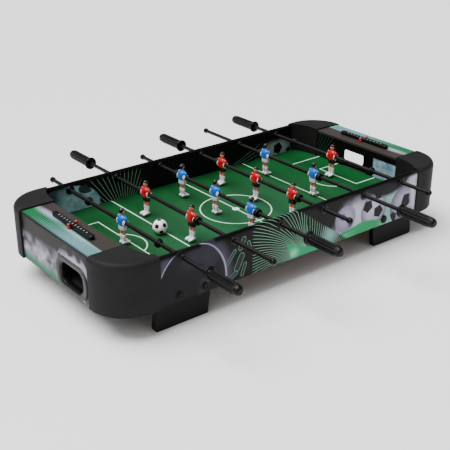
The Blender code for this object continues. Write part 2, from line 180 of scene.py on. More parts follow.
def start_material(name: str, **constants: float) -> tuple[bpy.types.Material, bpy.types.Node]:
    """Make a material with a Principled shader.

    Args:
        name: the material's name.
        constants: shader inputs, with underscores for spaces.
    Returns:
        The material and its shader node.
    """
    material = bpy.data.materials.new(name)
    material.use_nodes = True
    shader = material.node_tree.nodes["Principled BSDF"]
    for key, value in constants.items():
        shader.inputs[key.replace("_", " ").title().replace("Ior", "IOR")].default_value = value
    return material, shader


# Finishes -------------------------------------------------------------------------------------
@dataclass(frozen=True)
class Moulded:
    """An injection-moulded plastic or rubber: one colour right through, with the mould's fine texture."""

    name: str
    colour: str
    roughness: float
    grain_mm: float = 0.9
    depth_mm: float = 0.02
    mottle: float = 0.12
    mottle_mm: float = 25.0
    coat: float = 0.0
    specular: float = 0.5

    def make(self) -> bpy.types.Material:
        """Build the material.

        Returns:
            A material with a slight cloudiness, uneven gloss and a fine pebbled surface.
        """
        material, shader = start_material(self.name, ior=1.5, coat_weight=self.coat, coat_roughness=0.12,
                                          specular_ior_level=self.specular)
        tree = material.node_tree
        position = add_node(tree, "ShaderNodeTexCoord").outputs["Object"]
        cloud = add_node(tree, "ShaderNodeTexNoise", {},
                         {"Vector": position, "Scale": 1 / (self.mottle_mm * MM), "Detail": 4.0})
        cloud = Field(tree, cloud.outputs["Fac"])
        grain = add_node(tree, "ShaderNodeTexNoise", {},
                         {"Vector": position, "Scale": 1 / (self.grain_mm * MM), "Detail": 2.0})
        dark = [c * (1 - self.mottle) for c in linear(self.colour)[:3]]
        light = [min(1.0, c * (1 + self.mottle)) for c in linear(self.colour)[:3]]
        tint = add_node(tree, "ShaderNodeMix", {"data_type": "RGBA"},
                        {0: cloud.ramp(0.35, 0.65), 6: (*dark, 1.0), 7: (*light, 1.0)})
        tree.links.new(tint.outputs[2], shader.inputs["Base Color"])
        gloss = Field(tree, grain.outputs["Fac"]) * 0.1 + cloud * 0.08 + (self.roughness - 0.09)
        tree.links.new(gloss.socket, shader.inputs["Roughness"])
        bump = add_node(tree, "ShaderNodeBump", {},
                        {"Height": grain.outputs["Fac"], "Distance": self.depth_mm * MM, "Strength": 1.0})
        tree.links.new(bump.outputs["Normal"], shader.inputs["Normal"])
        return material


@dataclass(frozen=True)
class Fibreboard:
    """Sawn medium-density fibreboard: pressed wood fibres, brown and dull on its cut edges."""

    name: str
    colour: str
    fibre_mm: float = 1.2

    def make(self) -> bpy.types.Material:
        """Build the material.

        Returns:
            A dull material with short streaks of lighter and darker fibre.
        """
        material, shader = start_material(self.name, ior=1.45, roughness=0.85)
        tree = material.node_tree
        position = add_node(tree, "ShaderNodeTexCoord").outputs["Object"]
        fibre = add_node(tree, "ShaderNodeTexNoise", {},
                         {"Vector": position, "Scale": 1 / (self.fibre_mm * MM), "Detail": 6.0,
                          "Roughness": 0.7})
        base = linear(self.colour)
        dark = [c * 0.6 for c in base[:3]]
        tint = add_node(tree, "ShaderNodeMix", {"data_type": "RGBA"},
                        {0: fibre.outputs["Fac"], 6: (*dark, 1.0), 7: base})
        tree.links.new(tint.outputs[2], shader.inputs["Base Color"])
        bump = add_node(tree, "ShaderNodeBump", {},
                        {"Height": fibre.outputs["Fac"], "Distance": 0.1 * MM, "Strength": 1.0})
        tree.links.new(bump.outputs["Normal"], shader.inputs["Normal"])
        return material


class Artwork:
    """Inks laid over one another on a printed face, in millimetres across it."""

    def __init__(self, tree: bpy.types.NodeTree, ground: str) -> None:
        """Start with a sheet of one ground colour.

        Args:
            tree: the node tree to draw in.
            ground: the sheet's hex colour.
        """
        self.tree = tree
        position = add_node(tree, "ShaderNodeTexCoord").outputs["Object"]
        axes = add_node(tree, "ShaderNodeSeparateXYZ", {}, {"Vector": position}).outputs
        self.x, self.y, self.z = (Field(tree, axes[i]) * (1 / MM) for i in range(3))
        self.ink: tuple | bpy.types.NodeSocket = linear(ground)

    def paint(self, mask: Field, ink: str, strength: float = 1.0) -> None:
        """Lay an ink over what is there.

        Args:
            mask: 1 where the ink covers, 0 where it doesn't.
            ink: its colour.
            strength: its opacity.
        """
        mask = mask if strength == 1.0 else mask * strength
        mix = add_node(self.tree, "ShaderNodeMix", {"data_type": "RGBA"},
                       {0: mask, 6: self.ink, 7: linear(ink)})
        self.ink = mix.outputs[2]

    def cloud(self, u: Field, v: Field, size_mm: float, seed: float, detail: float = 3.0) -> Field:
        """Soft random shapes, from 0 to 1.

        Args:
            u: place across the face.
            v: place up the face.
            size_mm: the shapes' size.
            seed: which cloud.
            detail: how much fine detail it has.
        Returns:
            The cloud's density.
        """
        place = add_node(self.tree, "ShaderNodeCombineXYZ", {}, {0: u / size_mm, 1: v / size_mm, 2: seed})
        noise = add_node(self.tree, "ShaderNodeTexNoise", {},
                         {"Vector": place.outputs[0], "Scale": 1.0, "Detail": detail})
        return Field(self.tree, noise.outputs["Fac"])


def inside(distance: Field, soft: float = 0.7) -> Field:
    """1 where a distance is negative, with an edge that is soft mm wide."""
    return distance.ramp(soft / 2, -soft / 2)


def length(du: Field, dv: Field) -> Field:
    """Length of a step across and up a face."""
    return (du * du + dv * dv).math("SQRT")


def disc(u: Field, v: Field, center: Plan, radius: float, stretch: float = 1.0) -> Field:
    """Distance to a circle, whose height is stretch times its width."""
    return length(u - center[0], (v - center[1]) / stretch) - radius


def block(u: Field, v: Field, center: Plan, half: Plan) -> Field:
    """Distance to an upright rectangle."""
    return (abs(u - center[0]) - half[0]).math("MAXIMUM", abs(v - center[1]) - half[1])


def stroke(u: Field, v: Field, start: Plan, end: Plan) -> Field:
    """Distance to the line between two points.

    Args:
        u: place across the face.
        v: place up the face.
        start: one end of the line.
        end: its other end.
    Returns:
        The distance in mm.
    """
    along = Vector(end) - Vector(start)
    unit = along.normalized()
    du = u - start[0]
    dv = v - start[1]
    reach = (du * unit.x + dv * unit.y).math("MAXIMUM", 0.0).math("MINIMUM", along.length)
    return length(du - reach * unit.x, dv - reach * unit.y)


def pentagon(u: Field, v: Field, center: Plan, radius: float, turn_deg: float) -> Field:
    """Distance to a regular pentagon.

    Args:
        u: place across the face.
        v: place up the face.
        center: the pentagon's middle.
        radius: from its middle to a corner.
        turn_deg: how far it is turned.
    Returns:
        The distance in mm, negative inside.
    """
    du = u - center[0]
    dv = v - center[1]
    sector = math.tau / 5
    angle = (dv.math("ARCTAN2", du) + math.radians(turn_deg)).math("FLOORED_MODULO", sector) - sector / 2
    return length(du, dv) * angle.math("COSINE") - radius * math.cos(sector / 2)


def rays(u: Field, v: Field, focus: Plan, spacing_deg: float, bend: float = 0.0,
         crowd: Plan = (0.0, 0.0)) -> Field:
    """Distance to the nearest of the lines that fan out from a focus.

    Args:
        u: place across the face.
        v: place up the face.
        focus: where the lines would meet.
        spacing_deg: the angle between two lines.
        bend: how far the lines bend to the left on their way out, in radians for each 50 mm.
        crowd: an angle in degrees and how much closer the lines stand beyond it.
    Returns:
        The distance in mm.
    """
    du = u - focus[0]
    dv = v - focus[1]
    reach = length(du, dv)
    angle = (-dv).math("ARCTAN2", -du) + math.pi
    if bend:
        angle = angle - (reach - 50.0) * (bend / 50) * angle.ramp(math.pi * 0.5, math.pi * 0.6)
    crowd_from = math.radians(crowd[0])
    turns = angle + (angle - crowd_from).math("MAXIMUM", 0.0) * crowd[1]
    spacing = math.radians(spacing_deg)
    across = abs(turns.math("FLOORED_MODULO", spacing) - spacing / 2)
    blend = math.radians(2)
    crowding = angle.ramp(crowd_from - blend, crowd_from + blend) * crowd[1] + 1.0
    return across * reach / crowding


def stripes(across: Field, pitch: float, half: float) -> Field:
    """Soft stripes across a direction; half is half a stripe's share of the pitch.

    Args:
        across: place across the stripes.
        pitch: their spacing in mm.
        half: half a stripe's share of the pitch.
    Returns:
        1 on a stripe, 0 between.
    """
    return inside(abs((across / pitch).math("FLOORED_MODULO", 1.0) - 0.5) - half, 0.2)


@dataclass(frozen=True)
class PrintedFoil:
    """Fibreboard wrapped in a printed decor foil: a satin film whose picture has soft and sharp inks."""

    name: str
    ground: str
    draw: Callable[[Artwork], None]
    roughness: float = 0.42
    film_mm: float = 6.0

    def make(self) -> bpy.types.Material:
        """Build the material.

        Returns:
            A satin material that carries the artwork, with the film's faint waviness over the board.
        """
        material, shader = start_material(self.name, ior=1.47, specular_ior_level=0.1)
        tree = material.node_tree
        art = Artwork(tree, self.ground)
        self.draw(art)
        if isinstance(art.ink, bpy.types.NodeSocket):
            tree.links.new(art.ink, shader.inputs["Base Color"])
        position = add_node(tree, "ShaderNodeTexCoord").outputs["Object"]
        film = add_node(tree, "ShaderNodeTexNoise", {},
                        {"Vector": position, "Scale": 1 / (self.film_mm * MM), "Detail": 5.0})
        gloss = Field(tree, film.outputs["Fac"]) * 0.14 + (self.roughness - 0.07)
        tree.links.new(gloss.socket, shader.inputs["Roughness"])
        bump = add_node(tree, "ShaderNodeBump", {},
                        {"Height": film.outputs["Fac"], "Distance": 0.05 * MM, "Strength": 1.0})
        tree.links.new(bump.outputs["Normal"], shader.inputs["Normal"])
        return material


# Printed pictures -----------------------------------------------------------------------------
def draw_ball(art: Artwork, u: Field, v: Field, center: Plan, radius: float, patches: Sequence[tuple],
              pale: str = "bdb9d0", shade: str = "3a354c", patch: str = "1c161d", blur: float = 1.6,
              seams: bool = True) -> None:
    """Print a football: a shaded ball with dark pentagons and seams.

    Args:
        art: the picture.
        u: place across the face.
        v: place up the face.
        center: the ball's centre.
        radius: its radius.
        patches: (u, v, radius, turn in degrees) of each pentagon, from the ball's centre.
        pale: the ball's colour.
        shade: its colour in shadow.
        patch: the pentagons' colour.
        blur: how soft its edges are.
        seams: whether lines join the pentagons.
    """
    edge = disc(u, v, center, radius)
    cover = inside(edge, blur)
    art.paint(cover, pale)
    art.paint(cover * edge.ramp(-radius * 0.5, 0.0), shade, 0.75)
    art.paint(cover * (v - center[1]).ramp(radius * 0.1, -radius), shade, 0.45)
    for number, (du, dv, size, turn) in enumerate(patches):
        at = (center[0] + du, center[1] + dv)
        art.paint(cover * inside(pentagon(u, v, at, size, turn), blur), patch)
        ahead = patches[(number + 1) % len(patches)]
        if seams:
            seam = stroke(u, v, at, (center[0] + ahead[0], center[1] + ahead[1]))
            art.paint(cover * inside(seam - 0.35, 0.7), shade, 0.7)


def draw_pitch(art: Artwork) -> None:
    """The pitch: mown green with white markings.

    Args:
        art: the picture.
    """
    u, v = art.x + 5.0, art.y + 6.0
    glow = disc(u, v, (-40.0, -60.0), 0.0, 0.6)
    art.paint(glow.ramp(360.0, 20.0), "25573a")
    art.paint(art.cloud(u, v, 85.0, 2.0).ramp(0.4, 0.72), "09421d", 0.6)
    art.paint((abs(u + 60.0) - v * 0.2).ramp(150.0, 330.0), "0a4a20", 0.6)
    art.paint(art.cloud(u, v, 4.0, 5.0).ramp(0.4, 0.7), "0c4522", 0.3)
    line = 1.05
    frames = []
    for x in (-177.0, 0.0, 177.0):
        frames.append(abs(u - x) - line)
    frames.append(abs(disc(u, v, (0.0, 0.0), 73.0)) - line)
    for sign in (-1, 1):
        for box_x, half_y in ((254.0, 118.0), (293.0, 57.0)):
            middle_x = sign * (box_x + 60.0)
            frames.append(abs(block(u, v, (middle_x, 0.0), (60.0, half_y))) - line)
        bow = abs(disc(u, v, (sign * 278.0, 0.0), 51.0)) - line
        frames.append(bow.math("MAXIMUM", u * sign - 254.0))
    marks = frames[0]
    for other in frames[1:]:
        marks = marks.math("MINIMUM", other)
    marks = marks.math("MINIMUM", disc(u, v, (0.0, 0.0), 7.5))
    art.paint(inside(marks, 1.0), "d9efe0")


def draw_outside(art: Artwork, turn: int) -> None:
    """The long sides' outer face.

    Args:
        art: the picture.
        turn: 1 on the near side, -1 on the far side, where the picture runs the other way.
    """
    u = art.x * turn
    v = art.z - abs(art.y) + 197.5
    art.paint(art.cloud(u * 0.5, v, 26.0, 1.0).ramp(0.35, 0.7), "1c1819", 0.7)
    draw_haze(art, u, v)
    draw_turf(art, u, v)
    draw_fan(art, u, v)
    draw_loops(art, u, v)
    draw_arch(art, u, v)
    # Painted dark reflection along the rounded top edge, which leaves the near side's arch and fan clear.
    crest_reflection = v.ramp(136.0, 142.0)
    if turn > 0:
        crest_reflection = crest_reflection * abs(u + 222.0).ramp(12.0, 18.0) * (abs(u + 30.0) - 82.0).ramp(-4.0, 8.0)
    # the near-black ink here is a painted reflection on the rounded top edge
    art.paint(crest_reflection, "060505", 0.95)


def draw_haze(art: Artwork, u: Field, v: Field) -> None:
    """Lilac haze with three footballs, under a dark sweep.

    Args:
        art: the picture.
        u: place across the face.
        v: place up the face.
    """
    haze = art.cloud(u, v, 24.0, 7.0, 4.0)
    right = (u - (v - 80.0) * 0.5).ramp(74.0, 104.0) * (v - 126.0 + (haze - 0.5) * 26.0).ramp(10.0, -18.0)
    art.paint(right, "6d687f", 0.9)
    art.paint(right * haze.ramp(0.38, 0.6), "b7b3ca", 0.9)
    art.paint(inside(disc(u, v, (150.0, 92.0), 22.0, 1.3), 30.0), "c3c0d4", 0.85)
    art.paint(inside(disc(u, v, (246.0, 74.0), 30.0, 1.5), 26.0), "7db3a8", 0.9)
    draw_ball(art, u, v, (116.0, 94.0), 27.0, ((-8, 6, 8, 10), (15, -14, 8, 50)),
              "a39fb8", "6e6986", "4d4862", 5.0, False)
    draw_ball(art, u, v, (197.0, 91.0), 37.0,
              ((-18, 13, 14.5, 20), (13, -5, 14.5, 0), (-17, -29, 11, 40), (33, -25, 9, 15),
               (12, 33, 13, 60)))
    art.paint(inside(disc(u, v, (318.0, 96.0), 34.0, 1.4), 14.0), "c4c1d2", 0.95)
    draw_ball(art, u, v, (290.0, 80.0), 44.0, ((6, 8, 17, 20), (40, 26, 12, 0), (-34, -20, 12, 50)),
              "a29db8", "2f2b36", "1d191f")
    art.paint(inside(disc(u, v, (333.0, 100.0), 26.0, 1.8), 10.0), "c4c1d2", 0.9)
    from_middle = abs(u - 236.0)
    sweep = v - 113.0 - from_middle * from_middle / 160.0
    art.paint(u.ramp(150.0, 185.0) * inside(-sweep, 9.0) * u.ramp(306.0, 286.0), "0c0a0a", 0.97)
    art.paint(right * v.ramp(118.0, 134.0), "0d0b0b", 0.95)


def draw_turf(art: Artwork, u: Field, v: Field) -> None:
    """Green turf along the lower edge.

    Args:
        art: the picture.
        u: place across the face.
        v: place up the face.
    """
    edge = v - 74.0 + abs(u - 165.0) * 0.13 - (art.cloud(u, v, 22.0, 3.0) - 0.5) * 8.0
    turf = inside(edge, 3.0) * u.ramp(56.0, 62.0) * u.ramp(240.0, 205.0)
    art.paint(turf, "2f9a63")
    art.paint(turf * stripes(v + u * 0.16, 3.4, 0.16), "1c7a4a", 0.8)
    art.paint(turf * inside(edge + 7.0, 4.0) * u.ramp(150.0, 90.0), "56c793", 0.8)


def draw_fan(art: Artwork, u: Field, v: Field) -> None:
    """A fan of pale lines over a dark ground, with a glow at its lower right and a green wedge.

    Args:
        art: the picture.
        u: place across the face.
        v: place up the face.
    """
    left = rays(u, v, (8.0, 54.0), 4.1, 0.08, (132.0, 0.5))
    right = rays(u, v, (30.0, -60.0), 2.2)
    lines = left + (right - left) * u.ramp(12.5, 13.5)
    fan = u.ramp(-122.5, -120.5) * (u * 0.72 + v - 138.0).ramp(3.0, -1.0)
    art.paint(fan, "0b0b0a")
    art.paint(fan * inside(disc(u, v, (76.0, 74.0), 17.0), 26.0), "7fa3a2")
    art.paint(fan * inside(lines - 0.36, 0.7), "8cc4a4")
    roof = v - 86.0 + (u + 38.0) * 0.38
    left_edge = -u - 38.0 - (v - 86.0) * 0.36
    wedge = inside(roof.math("MAXIMUM", left_edge).math("MAXIMUM", u - 62.0), 1.5)
    art.paint(wedge, "2c9866")
    art.paint(wedge * inside(disc(u, v, (-20.0, 62.0), 8.0, 0.8), 18.0), "86dcb6")


def draw_loops(art: Artwork, u: Field, v: Field) -> None:
    """A group of plain slanted loops between the fan and the arch.

    Args:
        art: the picture.
        u: place across the face.
        v: place up the face.
    """
    clear = u.ramp(-121.5, -123.0)
    for start, end, radius in (((-142, 128), (-150, 112), 4.5), ((-163, 110), (-181, 88), 3.0),
                               ((-147, 96), (-158, 74), 6.0), ((-160, 66), (-188, 52), 3.6),
                               ((-139, 78), (-146, 58), 3.2), ((-131, 118), (-127, 104), 3.2)):
        loop = stroke(u, v, start, end) - radius
        art.paint(inside(loop, 1.2) * clear, "2c2a31", 0.9)
        art.paint(inside(abs(loop) - 0.4, 0.8) * clear, "6fae8a", 0.9)


def draw_arch(art: Artwork, u: Field, v: Field) -> None:
    """The arched plate at the left with its pale rim.

    Args:
        art: the picture.
        u: place across the face.
        v: place up the face.
    """
    arch = disc(u, v, (-256.0, 70.0), 74.0, 1.1)
    art.paint(arch.ramp(20.0, 1.0) * u.ramp(-232.0, -190.0), "514e62", 0.75)
    art.paint(arch.ramp(30.0, 2.0) * u.ramp(-290.0, -312.0), "4a4c5e", 0.8)
    plate = inside(arch, 1.5)
    art.paint(plate, "19181c")
    art.paint(plate * v.ramp(96.0, 118.0) * u.ramp(-292.0, -262.0), "2b2933", 0.9)
    beam = abs(u + 236.0 - (v - 51.0) * 0.32) - 9.0 - (v - 51.0) * 0.1
    art.paint(plate * inside(beam, 7.0), "2b2a32", 0.85)
    art.paint(plate * u.ramp(-205.0, -188.0), "29282e", 0.7)
    art.paint(inside(abs(arch) - 1.1, 1.4), "8e8ca2")
    art.paint(inside(abs(arch + 1.0) - 0.5, 4.0) * u.ramp(-210.0, -190.0), "b3b0c4", 0.8)


def draw_inside(art: Artwork, turn: int) -> None:
    """The long sides' inner face.

    Args:
        art: the picture.
        turn: 1 on the far side, -1 on the near side.
    """
    u = art.x * turn
    v = art.z
    lines = rays(u, v, (-148.0, 34.0), 5.4)
    fan = u.ramp(-246.0, -226.0) * u.ramp(-104.0, -110.0)
    art.paint(fan * inside(lines - 0.5, 0.8) * inside(v - 143.0, 2.0), "8fbfa0", 0.9)
    patch = disc(u, v, (-286.0, 92.0), 78.0, 0.62)
    mist = art.cloud(u, v, 20.0, 9.0, 5.0)
    art.paint(inside(patch, 3.0), "628c94")
    art.paint(inside(patch, 3.0) * mist.ramp(0.35, 0.65), "a4c6cf", 0.8)
    art.paint(inside(patch, 3.0) * (u - v * 0.7).ramp(-362.0, -400.0), "1b2630", 0.9)
    leaf = (disc(u, v, (-236.0, 128.0), 20.0, 0.6)).math("MAXIMUM", disc(u, v, (-250.0, 116.0), 24.0, 0.8))
    art.paint(inside(leaf, 2.0), "0f1c18", 0.9)
    lines = rays(u, v, (84.0, 62.0), 4.0)
    low = (v - 62.0) - (u - 84.0) * 0.44
    art.paint(u.ramp(118.0, 128.0) * inside(lines - 0.5, 0.8) * inside(low, 2.0), "6ea386", 0.85)
    draw_ball(art, u, v, (279.0, 88.0), 42.0, ((2, 10, 15, 0), (-40, 2, 9, 30), (36, -2, 9, 60)),
              "8f9aa2", "3c4348", "0f1114")
    art.paint(v.ramp(112.0, 122.0) * u.ramp(200.0, 230.0), "101011", 0.95)
    art.paint(v.ramp(134.0, 141.0), "090808", 0.85)


def draw_end(art: Artwork, turn: int) -> None:
    """An end's outer face.

    Args:
        art: the picture.
        turn: 1 on the left, -1 on the right.
    """
    u = art.y * turn
    v = art.z
    haze = art.cloud(u, v, 34.0, 11.0, 2.0)
    middle = (v - abs(u - 20.0) * 0.06).ramp(118.0, 84.0)
    art.paint(middle * haze.ramp(0.34, 0.62), "b5b1c4", 0.9)
    dark = art.cloud(u, v * 0.8, 24.0, 31.0, 2.0)
    art.paint(middle * dark.ramp(0.46, 0.7), "4a4549", 0.75)
    low = (v + (haze - 0.5) * 24.0).ramp(78.0, 60.0)
    art.paint(low, "5b8a7f", 0.75)
    art.paint(low * v.ramp(72.0, 54.0), "1b5c3a", 0.9)
    art.paint(low * stripes(v + u * 0.08, 3.0, 0.18), "173f2c", 0.6)
    draw_ball(art, u, v, (-66.0, 86.0), 58.0,
              ((8, 48, 13, 0), (46, 20, 12, 40), (52, -24, 11, 20), (-22, 44, 10, 60), (-44, -26, 12, 10),
               (10, -44, 11, 20)), "bcb8ca", "5f5b70", "3b363f", 3.0)
    art.paint((v + u * 0.1).ramp(112.0, 126.0), "1a1715", 0.95)
    art.paint(v.ramp(137.0, 141.0), "171514", 0.9)


def draw_top_board(art: Artwork, turn: int) -> None:
    """An end board's top face: a plain inner half and a lined outer half.

    Args:
        art: the picture.
        turn: 1 on the left, -1 on the right.
    """
    along = art.y * turn
    out = art.x * -turn
    outer = (out + along * 0.02).ramp(380.0, 384.0)
    art.paint(outer, "6d979c")
    art.paint(outer * (along - (out - 395.0) * 2.0).ramp(-40.0, 70.0), "1a7447", 0.95)
    art.paint(inside(disc(out, along, (379.0, 78.0), 6.0, 6.0), 9.0), "a3a3bd", 0.9)
    art.paint(inside(disc(out, along, (385.0, -40.0), 5.0, 6.0), 10.0) * outer, "8db4bd", 0.8)
    # The real lines stand 3 mm apart; they are 4.3 mm apart here so that they still show from a distance.
    lined = stripes(out - 386.0, 4.3, 0.2) * (out - (along + 126.0) * 0.01).ramp(386.0, 389.0)
    art.paint(lined * along.ramp(-110.0, 10.0), "062b1a", 0.95)
    art.paint(lined * along.ramp(-40.0, -100.0), "124a37", 0.9)
    art.paint(art.cloud(out, along, 7.0, 4.0).ramp(0.4, 0.7), "2a2624", 0.15)
    art.paint(out.ramp(410.0, 412.5), "171514", 0.9)


def draw_goal(art: Artwork, turn: int) -> None:
    """A goal wall's face.

    Args:
        art: the picture.
        turn: 1 on the right, -1 on the left.
    """
    u = art.y * turn
    v = art.z
    lines = rays(u, v, (150.0, 30.0), 4.0)
    art.paint(u.ramp(60.0, 74.0) * inside(lines - 0.5, 0.8), "24573b", 0.9)
    pane = block(u, v, (-88.0, 106.0), (32.0, 21.0))
    art.paint(inside(pane, 3.0), "5f7f90")
    art.paint(inside(pane, 3.0) * art.cloud(u, v, 18.0, 2.0).ramp(0.35, 0.65), "a9bccb", 0.8)


FINISHES: dict[str, bpy.types.Material] = {}


def make_finishes() -> None:
    """Build every finish once, under the name that the pieces ask for."""
    finishes = (
        # Textured moulded ABS scatters the light widely, so the caps look soft and their edges glow.
        Moulded("cap_abs_textured", "1c1b1b", 0.6, 1.1, 0.035, 0.12, 40.0, specular=0.1),
        Moulded("bezel_abs_moulded", "313033", 0.45, 0.9, 0.02, 0.08, 20.0, specular=0.2),
        # Black polypropylene has a dull sheen with brighter edges.
        Moulded("handle_polypropylene_moulded", "060505", 0.36, 0.8, 0.03, 0.25, 12.0, specular=0.17),
        Moulded("bush_acetal_moulded", "080707", 0.38, 0.8, 0.015, 0.2, 10.0, specular=0.2),
        Moulded("stop_rubber_moulded", "090808", 0.5, 0.7, 0.03, 0.25, 8.0, specular=0.2),
        Moulded("score_bar_abs_moulded", "0a0a0b", 0.34, 0.7, 0.015, 0.2, 12.0, specular=0.22),
        Moulded("marker_abs_glossy", "a00010", 0.24, 1.5, 0.008, 0.10, 6.0, 0.3),
        Moulded("tick_white_paint", "c9cac6", 0.5, 0.6, 0.01, 0.05, 5.0),
        # Powder coat has the slight orange peel of paint that flowed in an oven.
        Moulded("rod_steel_powder_coated", "0e0b0b", 0.38, 2.2, 0.02, 0.15, 30.0, specular=0.22),
        Moulded("leg_laminate_pressed", "131212", 0.5, 1.6, 0.03, 0.12, 30.0, specular=0.1),
        # The players are one polystyrene moulding, painted in gloss enamels.
        Moulded("shirt_enamel_blue", "0b68c4", 0.3, 1.8, 0.02, 0.12, 7.0, 0.2),
        Moulded("shirt_enamel_red", "b8000e", 0.3, 1.8, 0.02, 0.12, 7.0, 0.2),
        Moulded("shorts_enamel_white", "d2d4da", 0.36, 1.5, 0.02, 0.06, 6.0, 0.1),
        Moulded("shorts_enamel_black", "0b0a0b", 0.34, 1.5, 0.02, 0.2, 6.0, 0.1),
        Moulded("kit_enamel_white", "e2e0e2", 0.36, 1.5, 0.02, 0.05, 6.0, 0.1),
        Moulded("skin_enamel", "d28572", 0.42, 1.5, 0.02, 0.08, 5.0),
        Moulded("hair_enamel_black", "0c0807", 0.38, 1.2, 0.04, 0.25, 3.0, 0.1),
        Moulded("ball_polystyrene_white", "f2f1f2", 0.34, 2.5, 0.01, 0.03, 9.0, 0.1),
        Moulded("ball_ink_black", "050505", 0.4, 2.0, 0.01, 0.2, 9.0, specular=0.25),
        Fibreboard("fibreboard_sawn", "7a6048"),
        Fibreboard("fibreboard_black_dyed", "1c1a19"),
        PrintedFoil("foil_outside_near", "110e0f", lambda art: draw_outside(art, 1)),
        PrintedFoil("foil_outside_far", "110e0f", lambda art: draw_outside(art, -1)),
        PrintedFoil("foil_inside_near", "100f0f", lambda art: draw_inside(art, -1)),
        PrintedFoil("foil_inside_far", "100f0f", lambda art: draw_inside(art, 1)),
        PrintedFoil("foil_end_left", "1a1614", lambda art: draw_end(art, 1)),
        PrintedFoil("foil_end_right", "1a1614", lambda art: draw_end(art, -1)),
        PrintedFoil("foil_top_board_left", "35302e", lambda art: draw_top_board(art, 1)),
        PrintedFoil("foil_top_board_right", "35302e", lambda art: draw_top_board(art, -1)),
        PrintedFoil("foil_goal_left", "090809", lambda art: draw_goal(art, -1)),
        PrintedFoil("foil_goal_right", "090809", lambda art: draw_goal(art, 1)),
        PrintedFoil("pitch_print_satin", "114420", draw_pitch, 0.5),
    )
    for finish in finishes:
        FINISHES[finish.name] = finish.make()


# Mesh helpers ---------------------------------------------------------------------------------
def arc(center: Plan, radii: Plan, start_deg: float, end_deg: float, steps: int) -> list[Plan]:
    """Points along an elliptical arc, both ends included."""
    angles = [math.radians(start_deg + (end_deg - start_deg) * i / steps) for i in range(steps + 1)]
    return [(center[0] + radii[0] * math.cos(a), center[1] + radii[1] * math.sin(a)) for a in angles]


def rounded_rectangle(center: Plan, size: Plan, radius: float, steps: int = 8) -> list[Plan]:
    """Outline of a rectangle with round corners.

    Args:
        center: its middle.
        size: its two sides.
        radius: the corners' radius.
        steps: steps round a corner.
    Returns:
        The closed outline.
    """
    half_w, half_h = size[0] / 2 - radius, size[1] / 2 - radius
    points: list[Plan] = []
    for sx, sy, start in ((1, 1, 0), (-1, 1, 90), (-1, -1, 180), (1, -1, 270)):
        corner = (center[0] + sx * half_w, center[1] + sy * half_h)
        points += arc(corner, (radius, radius), start, start + 90, steps)
    return points


def ellipse(center: Point, radii: Plan, sides: int, power: float = 2.0) -> list[Point]:
    """A level ring; a power over 2 makes it squarer.

    Args:
        center: the ring's middle.
        radii: its two half widths.
        sides: points round it.
        power: its squareness; 2 is a true ellipse.
    Returns:
        The ring.
    """
    ring = []
    for i in range(sides):
        a = math.tau * (i + 0.5) / sides
        c, s = math.cos(a), math.sin(a)
        ring.append((center[0] + radii[0] * math.copysign(abs(c) ** (2 / power), c),
                     center[1] + radii[1] * math.copysign(abs(s) ** (2 / power), s), center[2]))
    return ring


